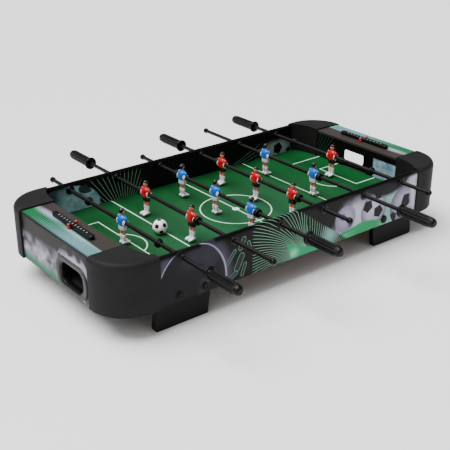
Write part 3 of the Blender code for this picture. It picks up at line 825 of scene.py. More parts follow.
class Shape:
    """A mesh under construction, made of shells that each carry one finish."""

    def __init__(self, *finishes: str) -> None:
        """Start an empty mesh that will use these finishes, in order."""
        self.bm = bmesh.new()
        self.finishes = finishes

    def skin(self, rings: Sequence[Sequence[Point]], finish: int = 0, closed: bool = False) -> None:
        """Skin rings of equal length.

        Args:
            rings: the rings, in order.
            finish: index of the shell's finish.
            closed: join the last ring to the first instead of capping both ends.
        """
        loops = [[self.bm.verts.new(p) for p in ring] for ring in rings]
        pairs = list(zip(loops, loops[1:]))
        if closed:
            pairs.append((loops[-1], loops[0]))
        faces = []
        for lower, upper in pairs:
            for i in range(len(lower)):
                j = (i + 1) % len(lower)
                faces.append(self.bm.faces.new((lower[i], lower[j], upper[j], upper[i])))
        if not closed:
            faces.append(self.bm.faces.new(loops[0][::-1]))
            faces.append(self.bm.faces.new(loops[-1]))
        for face in faces:
            face.material_index = finish
        bmesh.ops.recalc_face_normals(self.bm, faces=faces)

    def turn(self, profile: Sequence[Plan], sides: int = 40, finish: int = 0, closed: bool = False,
             at: Point = (0.0, 0.0, 0.0)) -> None:
        """Turn (radius, y) points about an axis along Y.

        Args:
            profile: the points, from end to end; an open profile is capped.
            sides: points round the axis.
            finish: index of the shell's finish.
            closed: join the profile's ends, as for a ring.
            at: a point on the axis.
        """
        rings = []
        for radius, y in profile:
            ring = []
            for i in range(sides):
                a = math.tau * i / sides
                ring.append((at[0] + radius * math.cos(a), at[1] + y, at[2] + radius * math.sin(a)))
            rings.append(ring)
        self.skin(rings, finish, closed)

    def box(self, low: Point, high: Point, finish: int = 0) -> None:
        """Add an upright box between two corners.

        Args:
            low: the lower corner.
            high: the upper corner.
            finish: index of the finish.
        """
        middle, size = (Vector(low) + Vector(high)) / 2, Vector(high) - Vector(low)
        matrix = Matrix.Translation(middle) @ Matrix.Diagonal((*size, 1.0))
        made = bmesh.ops.create_cube(self.bm, size=1.0, matrix=matrix)
        for face in {f for v in made["verts"] for f in v.link_faces}:
            face.material_index = finish

    def tube(self, path: Sequence[Point], radii: Sequence[float], finish: int = 0, sides: int = 12) -> None:
        """Add a round tube of varying radius along a path, with closed ends.

        Args:
            path: points along its middle.
            radii: the radius at each point.
            finish: index of the finish.
            sides: points round it.
        """
        points = [Vector(p) for p in path]
        rings = []
        for i, point in enumerate(points):
            ahead = (points[min(i + 1, len(points) - 1)] - points[max(i - 1, 0)]).normalized()
            side = ahead.cross(Vector((1, 0, 0))).normalized()
            up = side.cross(ahead)
            ring = [point + radii[i] * (side * math.cos(a) + up * math.sin(a))
                    for a in (math.tau * k / sides for k in range(sides))]
            rings.append([tuple(p) for p in ring])
        self.skin(rings, finish)

    def ball(self, center: Point, radii: Point, finish: int = 0, steps: int = 20) -> None:
        """Add an ellipsoid.

        Args:
            center: its middle.
            radii: its three half widths.
            finish: index of the finish.
            steps: points round it.
        """
        matrix = Matrix.Translation(center) @ Matrix.Diagonal((*radii, 1.0))
        made = bmesh.ops.create_uvsphere(self.bm, u_segments=steps, v_segments=steps // 2 + 2, radius=1.0,
                                         matrix=matrix)
        for face in {f for v in made["verts"] for f in v.link_faces}:
            face.material_index = finish

    def extrude(self, outline: Sequence[Plan], axis: str, start: float, end: float, finish: int = 0) -> None:
        """Extrude an outline along an axis; it gives the two other coordinates in order.

        Args:
            outline: the outline.
            axis: the axis to extrude along.
            start: where it starts.
            end: where it ends.
            finish: index of the finish.
        """
        rings = []
        for value in (start, end):
            ring = []
            for point in outline:
                coordinates = list(point)
                coordinates.insert("XYZ".index(axis), value)
                ring.append(tuple(coordinates))
            rings.append(ring)
        self.skin(rings, finish)

    def build(self, name: str, bevel_mm: float = 0.0, crease_deg: float = 35.0, smooth_levels: int = 0,
              cut: "Shape | None" = None, repaint: Callable[[Vector, Vector], int] | None = None
              ) -> bpy.types.Object:
        """Turn the mesh into an object.

        Args:
            name: the object's name.
            bevel_mm: width of a rounding along the sharp edges.
            crease_deg: edges sharper than this stay sharp.
            smooth_levels: subdivision levels.
            cut: a shape to take away.
            repaint: gives a face's finish from its centre and normal.
        Returns:
            The object, in the scene.
        """
        mesh = bpy.data.meshes.new(name)
        self.bm.to_mesh(mesh)
        self.bm.free()
        for finish in self.finishes:
            mesh.materials.append(FINISHES[finish])
        obj = bpy.data.objects.new(name, mesh)
        bpy.context.scene.collection.objects.link(obj)
        if cut:
            cutter = cut.build(f"{name}_cutter")
            modifier = obj.modifiers.new("cut", "BOOLEAN")
            modifier.object = cutter
            modifier.solver = "EXACT"
            settle(obj)
            bpy.data.objects.remove(cutter, do_unlink=True)
        if repaint:
            for polygon in obj.data.polygons:
                polygon.material_index = repaint(polygon.center, polygon.normal)
        if bevel_mm:
            modifier = obj.modifiers.new("rounding", "BEVEL")
            modifier.width = bevel_mm * MM
            modifier.segments = 2
            modifier.limit_method = "ANGLE"
            modifier.angle_limit = math.radians(40)
            settle(obj)
        if smooth_levels:
            modifier = obj.modifiers.new("smoothing", "SUBSURF")
            modifier.levels = smooth_levels
            modifier.render_levels = smooth_levels
            settle(obj)
        obj.data.shade_smooth()
        obj.data.set_sharp_from_angle(angle=math.radians(crease_deg))
        weighted = obj.modifiers.new("flat faces stay flat", "WEIGHTED_NORMAL")
        weighted.keep_sharp = True
        return obj


def settle(obj: bpy.types.Object) -> None:
    """Apply an object's modifiers to its mesh.

    Args:
        obj: the object.
    """
    graph = bpy.context.evaluated_depsgraph_get()
    mesh = bpy.data.meshes.new_from_object(obj.evaluated_get(graph))
    obj.modifiers.clear()
    obj.data = mesh


def fit(obj: bpy.types.Object, body: str, slot: str, *nodes: str) -> None:
    """Hang a finished piece on the frame.

    Args:
        obj: the piece, in place.
        body: the CAD body that it moves with.
        slot: the record's material slot; not used.
        nodes: the CAD nodes that it stands for.
    """
    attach(obj, body)
    if nodes:
        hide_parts(*nodes)
    log.info("%s rides on %s (%d faces)", obj.name, body, len(obj.data.polygons))


def node_box(name: str) -> tuple[Vector, Vector]:
    """Lowest and highest corner of a CAD node."""
    low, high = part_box(name)
    return Vector(low), Vector(high)


# The table ------------------------------------------------------------------------------------
@dataclass
class Carcass:
    """The boxed pitch: side panels, pitch board, goal walls, trays, end panels and end boards."""

    rod_z: float
    rod_xs: list[float]
    panel_t: float = 0.010
    bush_proud: float = BUSH_PROUD
    bush_r: float = 0.0095
    bush_bore: float = 0.00435
    bolt_xs: Plan = (0.229, 0.283)
    bolt_z: float = 0.0625
    goal_half_w: float = 0.036
    goal_top: float = 0.124
    goal_corner: float = 0.008
    edge_r: float = 0.0045

    def side_panel(self, side: Side) -> None:
        """Build a side panel: a board with a rounded top edge, drilled for the rods and bolts.

        Args:
            side: which side.
        """
        node = f"side_panel_{side.name.lower()}"
        low, high = node_box(node)
        low_y, high_y = low.y + self.bush_proud, high.y - self.bush_proud
        radius = (high_y - low_y) / 2
        crown = arc(((low_y + high_y) / 2, high.z - radius), (radius, radius), 0, 180, 16)
        panel = Shape("foil_outside_" + side.name.lower(), "foil_inside_" + side.name.lower(),
                      "fibreboard_sawn")
        panel.extrude([(low_y, low.z), (high_y, low.z), *crown], "X", low.x, high.x)
        holes = Shape("fibreboard_sawn")
        for x in self.rod_xs:
            holes.turn([(0.0068, low_y - OVERRUN), (0.0068, high_y + OVERRUN)], 32, at=(x, 0, self.rod_z))
        for x in self.bolt_xs:
            for bolt_x in (-x, x):
                holes.turn([(0.0035, low_y - OVERRUN), (0.0035, high_y + OVERRUN)], 24,
                           at=(bolt_x, 0, self.bolt_z))

        def finish_of(center: Vector, normal: Vector) -> int:
            """Foil outside and over the top, foil inside, bare board on the cut edges.

            Args:
                center: the face's middle.
                normal: its outward direction.
            Returns:
                Index of the finish.
            """
            if normal.y * side.value < -0.99:
                return 1
            if normal.z < -0.5 or abs(normal.x) > 0.9:
                return 2
            off_middle = abs(center.y - (low_y + high_y) / 2)
            return 2 if off_middle < radius * 0.98 and center.z < high.z - radius * 1.1 else 0

        obj = panel.build(node + "_board", crease_deg=25, cut=holes, repaint=finish_of)
        fit(obj, "table", "side_print", node)
        for number, x in enumerate(self.rod_xs, 1):
            self.bush(side, number, x, low_y, high_y)

    def bush(self, side: Side, number: int, x: float, low_y: float, high_y: float) -> None:
        """Build a rod bush: a sleeve through the panel with a stepped flange on each face.

        Args:
            side: which side panel.
            number: the rod's number.
            x: the rod's place.
            low_y: the panel's lower face.
            high_y: the panel's upper face.
        """
        r, bore, proud = self.bush_r, self.bush_bore, self.bush_proud
        start, end = low_y - proud, high_y + proud
        profile = [(bore, start), (bore + 0.0012, start), (r * 0.72, start), (r * 0.78, start + 0.0012),
                   (r * 0.94, start + 0.0016), (r, start + 0.0024), (r, low_y - 0.0001),
                   (0.0066, low_y - 0.0001), (0.0066, high_y + 0.0001), (r, high_y + 0.0001),
                   (r, end - 0.0024), (r * 0.94, end - 0.0016), (r * 0.78, end - 0.0012), (r * 0.72, end),
                   (bore + 0.0012, end), (bore, end)]
        bush = Shape("bush_acetal_moulded")
        bush.turn(profile, 36, closed=True, at=(x, 0, self.rod_z))
        fit(bush.build(f"rod_bush_{side.name.lower()}_{number}"), "table", "score_plastic")

    def pitch(self) -> None:
        """Build the pitch board with its printed top."""
        low, high = node_box("playfield")
        board = Shape("pitch_print_satin", "fibreboard_sawn")
        board.box(low, high)
        obj = board.build("pitch_board", repaint=lambda c, n: 0 if n.z > 0.5 else 1)
        fit(obj, "table", "pitch_print", "playfield")

    def goal_outline(self, pitch_z: float) -> list[Plan]:
        """The goal mouth (y, z): square at the pitch, with rounded upper corners.

        Args:
            pitch_z: the pitch's height.
        Returns:
            The closed outline.
        """
        side_y, crown_z = self.goal_half_w - self.goal_corner, self.goal_top - self.goal_corner
        radii = (self.goal_corner, self.goal_corner)
        return [(-self.goal_half_w, pitch_z), (self.goal_half_w, pitch_z),
                *arc((side_y, crown_z), radii, 0, 90, 10), *arc((-side_y, crown_z), radii, 90, 180, 10)]

    def goal_wall(self, end: End) -> None:
        """Build the wall behind a goal line, with the goal mouth through it.

        Args:
            end: which end.
        """
        node = f"goal_wall_{end.name.lower()}"
        low, high = node_box(node)
        wall = Shape("foil_goal_" + end.name.lower(), "fibreboard_black_dyed")
        wall.box(low, high)
        mouth = Shape("fibreboard_black_dyed")
        mouth.extrude(self.goal_outline(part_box("playfield")[1][2]), "X", low.x - OVERRUN, high.x + OVERRUN)
        obj = wall.build(node + "_board", 0.35, cut=mouth,
                         repaint=lambda c, n: 0 if n.x * end.value < -0.9 else 1)
        fit(obj, "table", "goal_print", node)

    def tray(self, end: End) -> None:
        """Build the end box's floor and end walls, where a scored ball lies.

        Args:
            end: which end.
        """
        node = f"ball_tray_{end.name.lower()}"
        low, high = node_box(node)
        floor_t, wall_t = 0.003, 0.004
        outline = [(low.y, low.z), (high.y, low.z), (high.y, high.z), (high.y - wall_t, high.z),
                   (high.y - wall_t, low.z + floor_t), (low.y + wall_t, low.z + floor_t),
                   (low.y + wall_t, high.z), (low.y, high.z)]
        tray = Shape("fibreboard_black_dyed")
        tray.extrude(outline, "X", low.x, high.x)
        fit(tray.build(node + "_box", 0.3), "table", "tray_board", node)

    def end_panel(self, end: End) -> None:
        """Build an end panel with its ball-return opening.

        Args:
            end: which end.
        """
        node = f"end_panel_{end.name.lower()}"
        low, high = node_box(node)
        bezel_low, bezel_high = node_box(f"ball_return_bezel_{end.name.lower()}")
        middle = (bezel_low + bezel_high) / 2
        panel = Shape("foil_end_" + end.name.lower(), "fibreboard_black_dyed")
        panel.box(low, high)
        opening = Shape("fibreboard_black_dyed")
        outline = rounded_rectangle((middle.y, middle.z), (0.0786, 0.0436), 0.0173)
        opening.extrude(outline, "X", low.x - OVERRUN, high.x + OVERRUN)
        obj = panel.build(node + "_board", cut=opening,
                          repaint=lambda c, n: 0 if n.x * end.value > 0.9 else 1)
        fit(obj, "table", "end_print", node)

    def top_board(self, end: End) -> None:
        """Build an end's top board, whose outer edge is rounded over.

        Args:
            end: which end.
        """
        node = f"end_top_board_{end.name.lower()}"
        low, high = node_box(node)
        sign = end.value
        inner = low.x if sign > 0 else high.x
        outer = high.x if sign > 0 else low.x
        r = self.edge_r
        round_over = [(outer - sign * (r - x), z) for x, z in arc((0.0, high.z - r), (r, r), 0, 90, 8)]
        nose_r = 0.0012
        nose = [(inner + sign * (nose_r - x), z)
                for x, z in arc((0.0, high.z - nose_r), (nose_r, nose_r), 90, 0, 4)]
        outline = [(inner, low.z), (outer, low.z), *round_over, *nose]
        board = Shape("foil_top_board_" + end.name.lower(), "fibreboard_black_dyed")
        rings = [[(x, y, z) for x, z in outline] for y in (low.y, high.y)]
        board.skin(rings)
        obj = board.build(node + "_foiled", crease_deg=28,
                          repaint=lambda c, n: 1 if n.z < -0.5 or abs(n.y) > 0.5 else 0)
        fit(obj, "table", "board_print", node)

    def build(self) -> None:
        """Build every board of the carcass."""
        for side in Side:
            self.side_panel(side)
        for end in End:
            self.goal_wall(end)
            self.tray(end)
            self.end_panel(end)
            self.top_board(end)
        self.pitch()


@dataclass
class CornerCap:
    """A moulded corner: an open-bottomed shell that the panels' ends slot into."""

    side: Side
    end: End
    proud: float = 0.0042
    gap: float = GAP
    corner_r: float = 0.075
    fillet: float = 0.0095
    skirt_t: float = 0.0022
    steps: int = 24

    def outline(self, inset: float, skirt: float, overrun: float) -> list[Plan]:
        """Plan outline in the +X +Y corner.

        Args:
            inset: how far the outer side is drawn in.
            skirt: how far the inner curve is moved back.
            overrun: how far the outline runs past the cap's two open ends.
        Returns:
            The closed outline.
        """
        low, high = self.extent
        center = (high.x - self.corner_r, high.y - self.corner_r)
        radius = self.corner_r - inset
        outer = arc(center, (radius, radius), 90, 0, self.steps)
        inner_center = (low.x - 0.002, low.y)
        goal_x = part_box("goal_wall_right")[0][0]
        panel_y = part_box("side_panel_far")[0][1] + BUSH_PROUD
        radii = (goal_x - 0.0025 - inner_center[0] + skirt, panel_y - 0.0025 - low.y + skirt)
        inner = arc(inner_center, radii, 0, 87, self.steps)
        end_x, end_y = low.x - overrun, low.y - overrun
        if overrun:
            return [(end_x, outer[0][1]), *outer, (outer[-1][0], end_y), (inner[0][0], end_y), *inner,
                    (end_x, inner[-1][1])]
        return [(end_x, outer[0][1]), *outer, (outer[-1][0], end_y), *inner[:-1], (end_x, inner[-1][1])]

    @property
    def extent(self) -> tuple[Vector, Vector]:
        """The cap's box in the +X +Y corner."""
        return node_box("corner_cap_far_right")

    def ring(self, outline: Iterable[Plan], z: float) -> list[Point]:
        """Put an outline at a height in this cap's own corner."""
        return [(self.end.value * x, self.side.value * y, z) for x, y in outline]

    def build(self) -> None:
        """Build the shell: outer body with a rounded top edge, less its hollow."""
        low, high = self.extent
        rings = [self.ring(self.outline(0.0006, 0.0, 0.0), low.z),
                 self.ring(self.outline(0.0, 0.0, 0.0), low.z + 0.0006)]
        steps = 8
        for step in range(steps + 1):
            angle = math.pi / 2 * step / steps
            inset = self.fillet * (1 - math.cos(angle))
            z = high.z - self.fillet * (1 - math.sin(angle))
            rings.append(self.ring(self.outline(inset, 0.0, 0.0), z))
        shell = Shape("cap_abs_textured")
        shell.skin(rings)
        top_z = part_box("side_panel_far")[1][2] + self.gap
        pitch_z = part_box("playfield")[1][2] + self.gap
        wall = self.proud - self.gap
        hollow = Shape("cap_abs_textured")
        hollow_plan = self.outline(wall, self.skirt_t, OVERRUN)
        hollow.skin([self.ring(hollow_plan, z) for z in (low.z - OVERRUN, top_z)])
        under = Shape("cap_abs_textured")
        outer = arc((high.x - self.corner_r, high.y - self.corner_r),
                    (self.corner_r - wall, self.corner_r - wall), 90, 0, self.steps)
        near_x, near_y = low.x - 0.03, low.y - 0.03
        plain = [(near_x, outer[0][1]), *outer, (outer[-1][0], near_y), (near_x, near_y)]
        under.skin([self.ring(plain, z) for z in (low.z - OVERRUN, pitch_z)])
        name = f"corner_cap_{self.side.name.lower()}_{self.end.name.lower()}"
        body = shell.build(name + "_shell", cut=hollow)
        cutter = under.build(name + "_under")
        modifier = body.modifiers.new("cut", "BOOLEAN")
        modifier.object = cutter
        settle(body)
        bpy.data.objects.remove(cutter, do_unlink=True)
        body.data.shade_smooth()
        body.data.set_sharp_from_angle(angle=math.radians(30))
        body.modifiers.new("flat faces stay flat", "WEIGHTED_NORMAL").keep_sharp = True
        fit(body, "table", "cap_plastic", name)


@dataclass
class BallReturn:
    """The plastic frame round a ball-return opening."""

    end: End
    hole: Plan = (0.074, 0.039)
    hole_r: float = 0.015
    collar_t: float = 0.002

    def build(self) -> None:
        """Build the frame: a rounded rim that dishes in to a collar through the panel."""
        node = f"ball_return_bezel_{self.end.name.lower()}"
        low, high = node_box(node)
        sign = self.end.value
        middle = ((low.y + high.y) / 2, (low.z + high.z) / 2)
        size = (high.y - low.y, high.z - low.z)
        back, face = (low.x, high.x) if sign > 0 else (high.x, low.x)
        plate = face - sign * 0.0035
        grow = ((size[0] - self.hole[0]) / 2, (size[1] - self.hole[1]) / 2)
        collar = self.collar_t / ((grow[0] + grow[1]) / 2)
        # (how far out from the hole as a share of the rim, place along X)
        section = [(1.0, plate), (1.0, face - sign * 0.0016), (0.965, face - sign * 0.0005), (0.90, face),
                   (0.55, face - sign * 0.0002), (0.34, face - sign * 0.0008), (0.12, face - sign * 0.0022),
                   (0.0, face - sign * 0.0042), (0.0, back), (collar, back), (collar, plate)]
        rings = []
        for share, x in section:
            outer = (self.hole[0] + 2 * grow[0] * share, self.hole[1] + 2 * grow[1] * share)
            radius = self.hole_r + (0.026 - self.hole_r) * share
            rings.append([(x, y, z) for y, z in rounded_rectangle(middle, outer, radius, 12)])
        # The black second finish is painted shade on the dished mouth, standing for the shade inside the
        # opening.
        rim = Shape("bezel_abs_moulded", "bush_acetal_moulded")
        rim.skin(rings, closed=True)
        reach_y, reach_z = self.hole[0] / 2 + grow[0] * 0.3, self.hole[1] / 2 + grow[1] * 0.3

        def finish_of(center: Vector, normal: Vector) -> int:
            """Painted shade: black inside the dished mouth, for the shade inside the opening; grey on the
            rim.

            Args:
                center: the face's middle.
                normal: its outward direction; not used.
            Returns:
                Index of the finish.
            """
            inner = abs(center.y - middle[0]) < reach_y and abs(center.z - middle[1]) < reach_z
            return 1 if inner else 0

        fit(rim.build(node + "_frame", crease_deg=50, repaint=finish_of), "table", "bezel_plastic", node)


@dataclass
class ScoreCounter:
    """A score bar with printed ticks, two fixing screws and a marker on each edge."""

    end: End
    ticks: int = 11
    tick_pitch: float = 0.0098
    knob_flare: float = 1.25

    def build(self) -> None:
        """Build the bar, its ticks and screws, and both markers."""
        name = self.end.name.lower()
        low, high = node_box(f"score_bar_{name}")
        middle = (low + high) / 2
        size = (high.x - low.x, high.y - low.y)
        bar = Shape("score_bar_abs_moulded")
        rings = []
        for inset, z in ((0.0, low.z), (0.0, high.z - 0.0014), (0.0004, high.z - 0.0005), (0.0013, high.z),
                         (0.0029, high.z), (0.0032, high.z - 0.0007)):
            plan = (size[0] - 2 * inset, size[1] - 2 * inset)
            radius = size[0] / 2 - inset - 0.0001
            rings.append([(x, y, z) for x, y in rounded_rectangle((middle.x, middle.y), plan, radius, 10)])
        bar.skin(rings)
        fit(bar.build(f"score_bar_{name}_body", crease_deg=40), "table", "score_plastic", f"score_bar_{name}")
        ticks = Shape("tick_white_paint")
        for i in range(self.ticks):
            y = middle.y + (i - (self.ticks - 1) / 2) * self.tick_pitch
            ticks.box((middle.x - 0.0017, y - 0.0005, high.z - 0.0009),
                      (middle.x + 0.0017, y + 0.0005, high.z - 0.0003))
        fit(ticks.build(f"score_ticks_{name}", 0.1), "table", "score_plastic")
        for place, sign in (("near", -1), ("far", 1)):
            screw = Shape("bush_acetal_moulded")
            at = (middle.x, middle.y + sign * (size[1] / 2 - 0.0062))
            rings = []
            for radius, z in ((0.0027, high.z - 0.001), (0.0027, high.z + 0.0001), (0.0021, high.z + 0.0006),
                              (0.0011, high.z + 0.0006), (0.0008, high.z - 0.0004)):
                rings.append(ellipse((*at, z), (radius, radius), 20))
            screw.skin(rings)
            fit(screw.build(f"score_screw_{name}_{place}"), "table", "score_plastic")
        for place in ("outer", "inner"):
            self.marker(f"score_marker_{name}_{place}")

    def marker(self, node: str) -> None:
        """Build a marker: a foot that hooks on the bar's edge and a round knob to push it by.

        Args:
            node: the marker's node in the frame.
        """
        low, high = node_box(node)
        middle = (low + high) / 2
        half = (high - low) / 2
        marker = Shape("marker_abs_glossy")
        rings = []
        for share, scale, power in ((0.0, 0.86, 6.0), (0.06, 1.0, 6.0), (0.40, 1.0, 5.0), (0.48, 0.9, 3.0),
                                    (0.54, 0.8, 2.2), (0.60, 0.86, 2.0), (0.74, 1.0, 2.0), (0.87, 0.9, 2.0),
                                    (0.96, 0.6, 2.0), (1.0, 0.2, 2.0)):
            z = low.z + (high.z - low.z) * share
            width = half.x if share < 0.62 else half.x * self.knob_flare
            length = half.y if share <= 0.45 else half.x * self.knob_flare
            rings.append(ellipse((middle.x, middle.y, z), (width * scale, length * scale), 28, power))
        marker.skin(rings)
        fit(marker.build(node + "_knob", crease_deg=60), node, "marker_plastic", node)


@dataclass
class Leg:
    """A leg plate with the two bolts that hold it to its side panel."""

    side: Side
    end: End
    thickness: float = 0.012
    bolt_xs: Plan = (0.229, 0.283)
    bolt_z: float = 0.0625
    cap_t: float = 0.004

    def build(self) -> None:
        """Build the plate and its bolts."""
        name = f"{self.side.name.lower()}_{self.end.name.lower()}"
        low, high = node_box("leg_" + name)
        sy, sx = self.side.value, self.end.value
        face_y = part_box("side_panel_" + self.side.name.lower())
        inner = min(abs(face_y[0][1]), abs(face_y[1][1])) + BUSH_PROUD - GAP
        top, corner = high.z, 0.006
        outline = [(0.206, top), (0.216, 0.003), (0.2172, 0.0008), (0.219, 0.0), (0.330 - corner, 0.0),
                   *arc((0.330 - corner, corner), (corner, corner), -80, 0, 6)[:-1], (0.330, corner),
                   (0.321, top)]
        plate = Shape("leg_laminate_pressed")
        plate.extrude([(sx * x, z) for x, z in outline], "Y", sy * (inner - self.thickness), sy * inner)
        fit(plate.build(f"leg_{name}_plate", 0.5), "table", "leg_board", "leg_" + name)
        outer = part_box("side_panel_far")[1][1] - BUSH_PROUD + GAP
        for number, x in enumerate(self.bolt_xs, 1):
            bolt = Shape("bush_acetal_moulded")
            profile = [(0.003, inner - 0.006), (0.003, outer), (0.0085, outer), (0.0085, outer + 0.0010),
                       (0.0076, outer + 0.0018), (0.0066, outer + 0.0019), (0.0062, outer + 0.0012),
                       (0.0050, outer + 0.0012), (0.0048, outer + 0.0030), (0.0040, outer + 0.0039),
                       (0.0022, outer + 0.0040), (0.0019, outer + 0.0028)]
            bolt.turn([(r, sy * y) for r, y in profile], 36, at=(sx * x, 0, self.bolt_z))
            fit(bolt.build(f"leg_bolt_{name}_{number}", crease_deg=45), "table", "leg_board")


# What moves -----------------------------------------------------------------------------------
@dataclass
class Player:
    """A moulded and painted player, facing +X, with the rod's axis through its origin along Y."""

    team: Team
    sides: int = 16

    def build(self, name: str) -> bpy.types.Object:
        """Model the figure.

        Args:
            name: the object's name.
        Returns:
            The figure at the origin.
        """
        shirt = "shirt_enamel_blue" if self.team is Team.BLUE else "shirt_enamel_red"
        shorts = "shorts_enamel_white" if self.team is Team.BLUE else "shorts_enamel_black"
        figure = Shape("kit_enamel_white", "skin_enamel", shorts, shirt, "hair_enamel_black")
        white, skin, short, top, hair = range(5)
        for side in (-1, 1):
            self.shoe(figure, side, white)
            sock = ((-41.5, 3.1, 0.6), (-38.0, 2.8, 0.0), (-35.0, 3.0, -0.2), (-31.5, 3.6, -0.5),
                    (-28.5, 3.6, -0.3), (-26.6, 3.5, 0.0), (-26.0, 3.0, 0.0))
            self.limb(figure, sock, side * 4.1, white)
            leg = ((-27.0, 2.7, 0.0), (-24.5, 2.8, 0.2), (-21.5, 3.2, 0.4), (-18.0, 3.4, 0.0),
                   (-12.0, 3.9, 0.0))
            self.limb(figure, leg, side * 4.1, skin)
            sleeve = [(0.2, side * 7.6, 10.6), (0.3, side * 10.2, 8.6), (0.5, side * 11.4, 5.2),
                      (0.6, side * 11.6, 3.2)]
            figure.tube(self.scaled(sleeve), [3.6 * MM, 3.9 * MM, 3.5 * MM, 3.1 * MM], top)
            arm = [(0.5, side * 11.2, 5.2), (-2.6, side * 11.6, 1.6), (-5.0, side * 11.3, -1.5),
                   (-3.8, side * 11.0, -5.0), (0.4, side * 10.4, -6.4), (3.6, side * 9.8, -5.2)]
            figure.tube(self.scaled(arm), [r * MM for r in (2.2, 2.1, 2.0, 1.9, 1.9, 1.3)], white)
            hub = [(4.1, -1.0), (6.4, -1.0), (6.9, -0.4), (6.9, 0.5), (6.2, 1.0), (4.1, 1.0)]
            figure.turn([(r * MM, y * MM) for r, y in hub], 24, white, True, (0.0, side * 10.6 * MM, 0.0))
        trunk = ((-16.4, 5.6, 8.6, 3.0), (-15.6, 6.2, 9.2, 3.0), (-11.0, 6.4, 9.2, 2.8),
                 (-6.5, 6.6, 8.8, 2.6), (-4.0, 6.4, 8.4, 2.5))
        self.trunk(figure, trunk, short)
        body = ((-7.4, 6.4, 8.6, 2.5), (-6.4, 7.0, 9.2, 2.5), (-2.0, 7.2, 9.6, 2.5), (3.0, 7.4, 10.0, 2.6),
                (7.5, 7.0, 10.4, 2.6), (10.6, 5.8, 9.6, 2.5), (12.6, 4.4, 7.0, 2.3), (13.8, 3.4, 4.2, 2.0))
        self.trunk(figure, body, top)
        collar = [(3.0, 12.6), (4.2, 12.8), (4.5, 13.5), (4.1, 14.3), (3.2, 14.4)]
        rings = [ellipse((0.2 * MM, 0.0, z * MM), (r * MM, r * 1.05 * MM), 20) for r, z in collar]
        figure.skin(rings, top)
        neck = ((12.5, 2.9), (16.5, 2.7))
        figure.skin([ellipse((0.2 * MM, 0.0, z * MM), (r * MM, r * MM), 16) for z, r in neck], skin)
        self.head(figure, skin, hair)
        return figure.build(name, crease_deg=60, smooth_levels=1)

    @staticmethod
    def scaled(points: Iterable[Point]) -> list[Point]:
        """Points in millimetres, in metres."""
        return [(x * MM, y * MM, z * MM) for x, y, z in points]

    def limb(self, figure: Shape, rings: Iterable[Point], y: float, finish: int) -> None:
        """Add an upright limb from (height, radius, middle's x) rings."""
        figure.skin([ellipse((x * MM, y * MM, z * MM), (r * MM, r * MM), 14) for z, r, x in rings], finish)

    def trunk(self, figure: Shape, rings: Iterable[tuple], finish: int) -> None:
        """Add part of the trunk from (height, half depth, half width, squareness) rings."""
        rings = [ellipse((0.0, 0.0, z * MM), (d * MM, w * MM), 24, p) for z, d, w, p in rings]
        figure.skin(rings, finish)

    def shoe(self, figure: Shape, side: int, finish: int) -> None:
        """Add a shoe that turns slightly outwards.

        Args:
            figure: the shell to add to.
            side: -1 or 1.
            finish: index of the finish.
        """
        sole = -44.0
        splay = math.radians(9) * side
        rings = []
        for x, half_w, height in ((-5.2, 1.6, 3.0), (-4.4, 2.9, 5.0), (-1.0, 3.4, 6.8), (3.0, 3.7, 6.2),
                                  (7.0, 4.2, 5.4), (10.2, 4.2, 4.8), (12.0, 3.4, 3.8), (12.7, 1.8, 2.4)):
            ring = []
            for i in range(14):
                a = math.tau * i / 14
                y = half_w * math.cos(a)
                z = sole + height / 2 + height / 2 * math.sin(a)
                px = x * math.cos(splay) - y * math.sin(splay)
                py = x * math.sin(splay) * 0.5 + y * math.cos(splay) + side * 4.1
                ring.append((px * MM, py * MM, z * MM))
            rings.append(ring)
        figure.skin(rings, finish)

    def head(self, figure: Shape, skin: int, hair: int) -> None:
        """Add a plain head with a nose, ears and a cap of hair.

        Args:
            figure: the shell to add to.
            skin: index of the skin finish.
            hair: index of the hair finish.
        """
        def egg(center: Point, radii: Point, finish: int) -> None:
            """Add an ellipsoid given in millimetres."""
            figure.ball(tuple(c * MM for c in center), tuple(r * MM for r in radii), finish, 16)
        egg((0.5, 0.0, 20.3), (4.9, 4.3, 6.0), skin)
        egg((5.2, 0.0, 19.6), (1.0, 0.7, 1.1), skin)
        for side in (-1, 1):
            egg((0.2, side * 4.4, 19.8), (1.2, 0.6, 1.6), skin)
        egg((-1.0, 0.0, 21.5), (4.9, 4.8, 5.4), hair)
        egg((1.0, 0.0, 24.0), (4.2, 4.4, 3.0), hair)


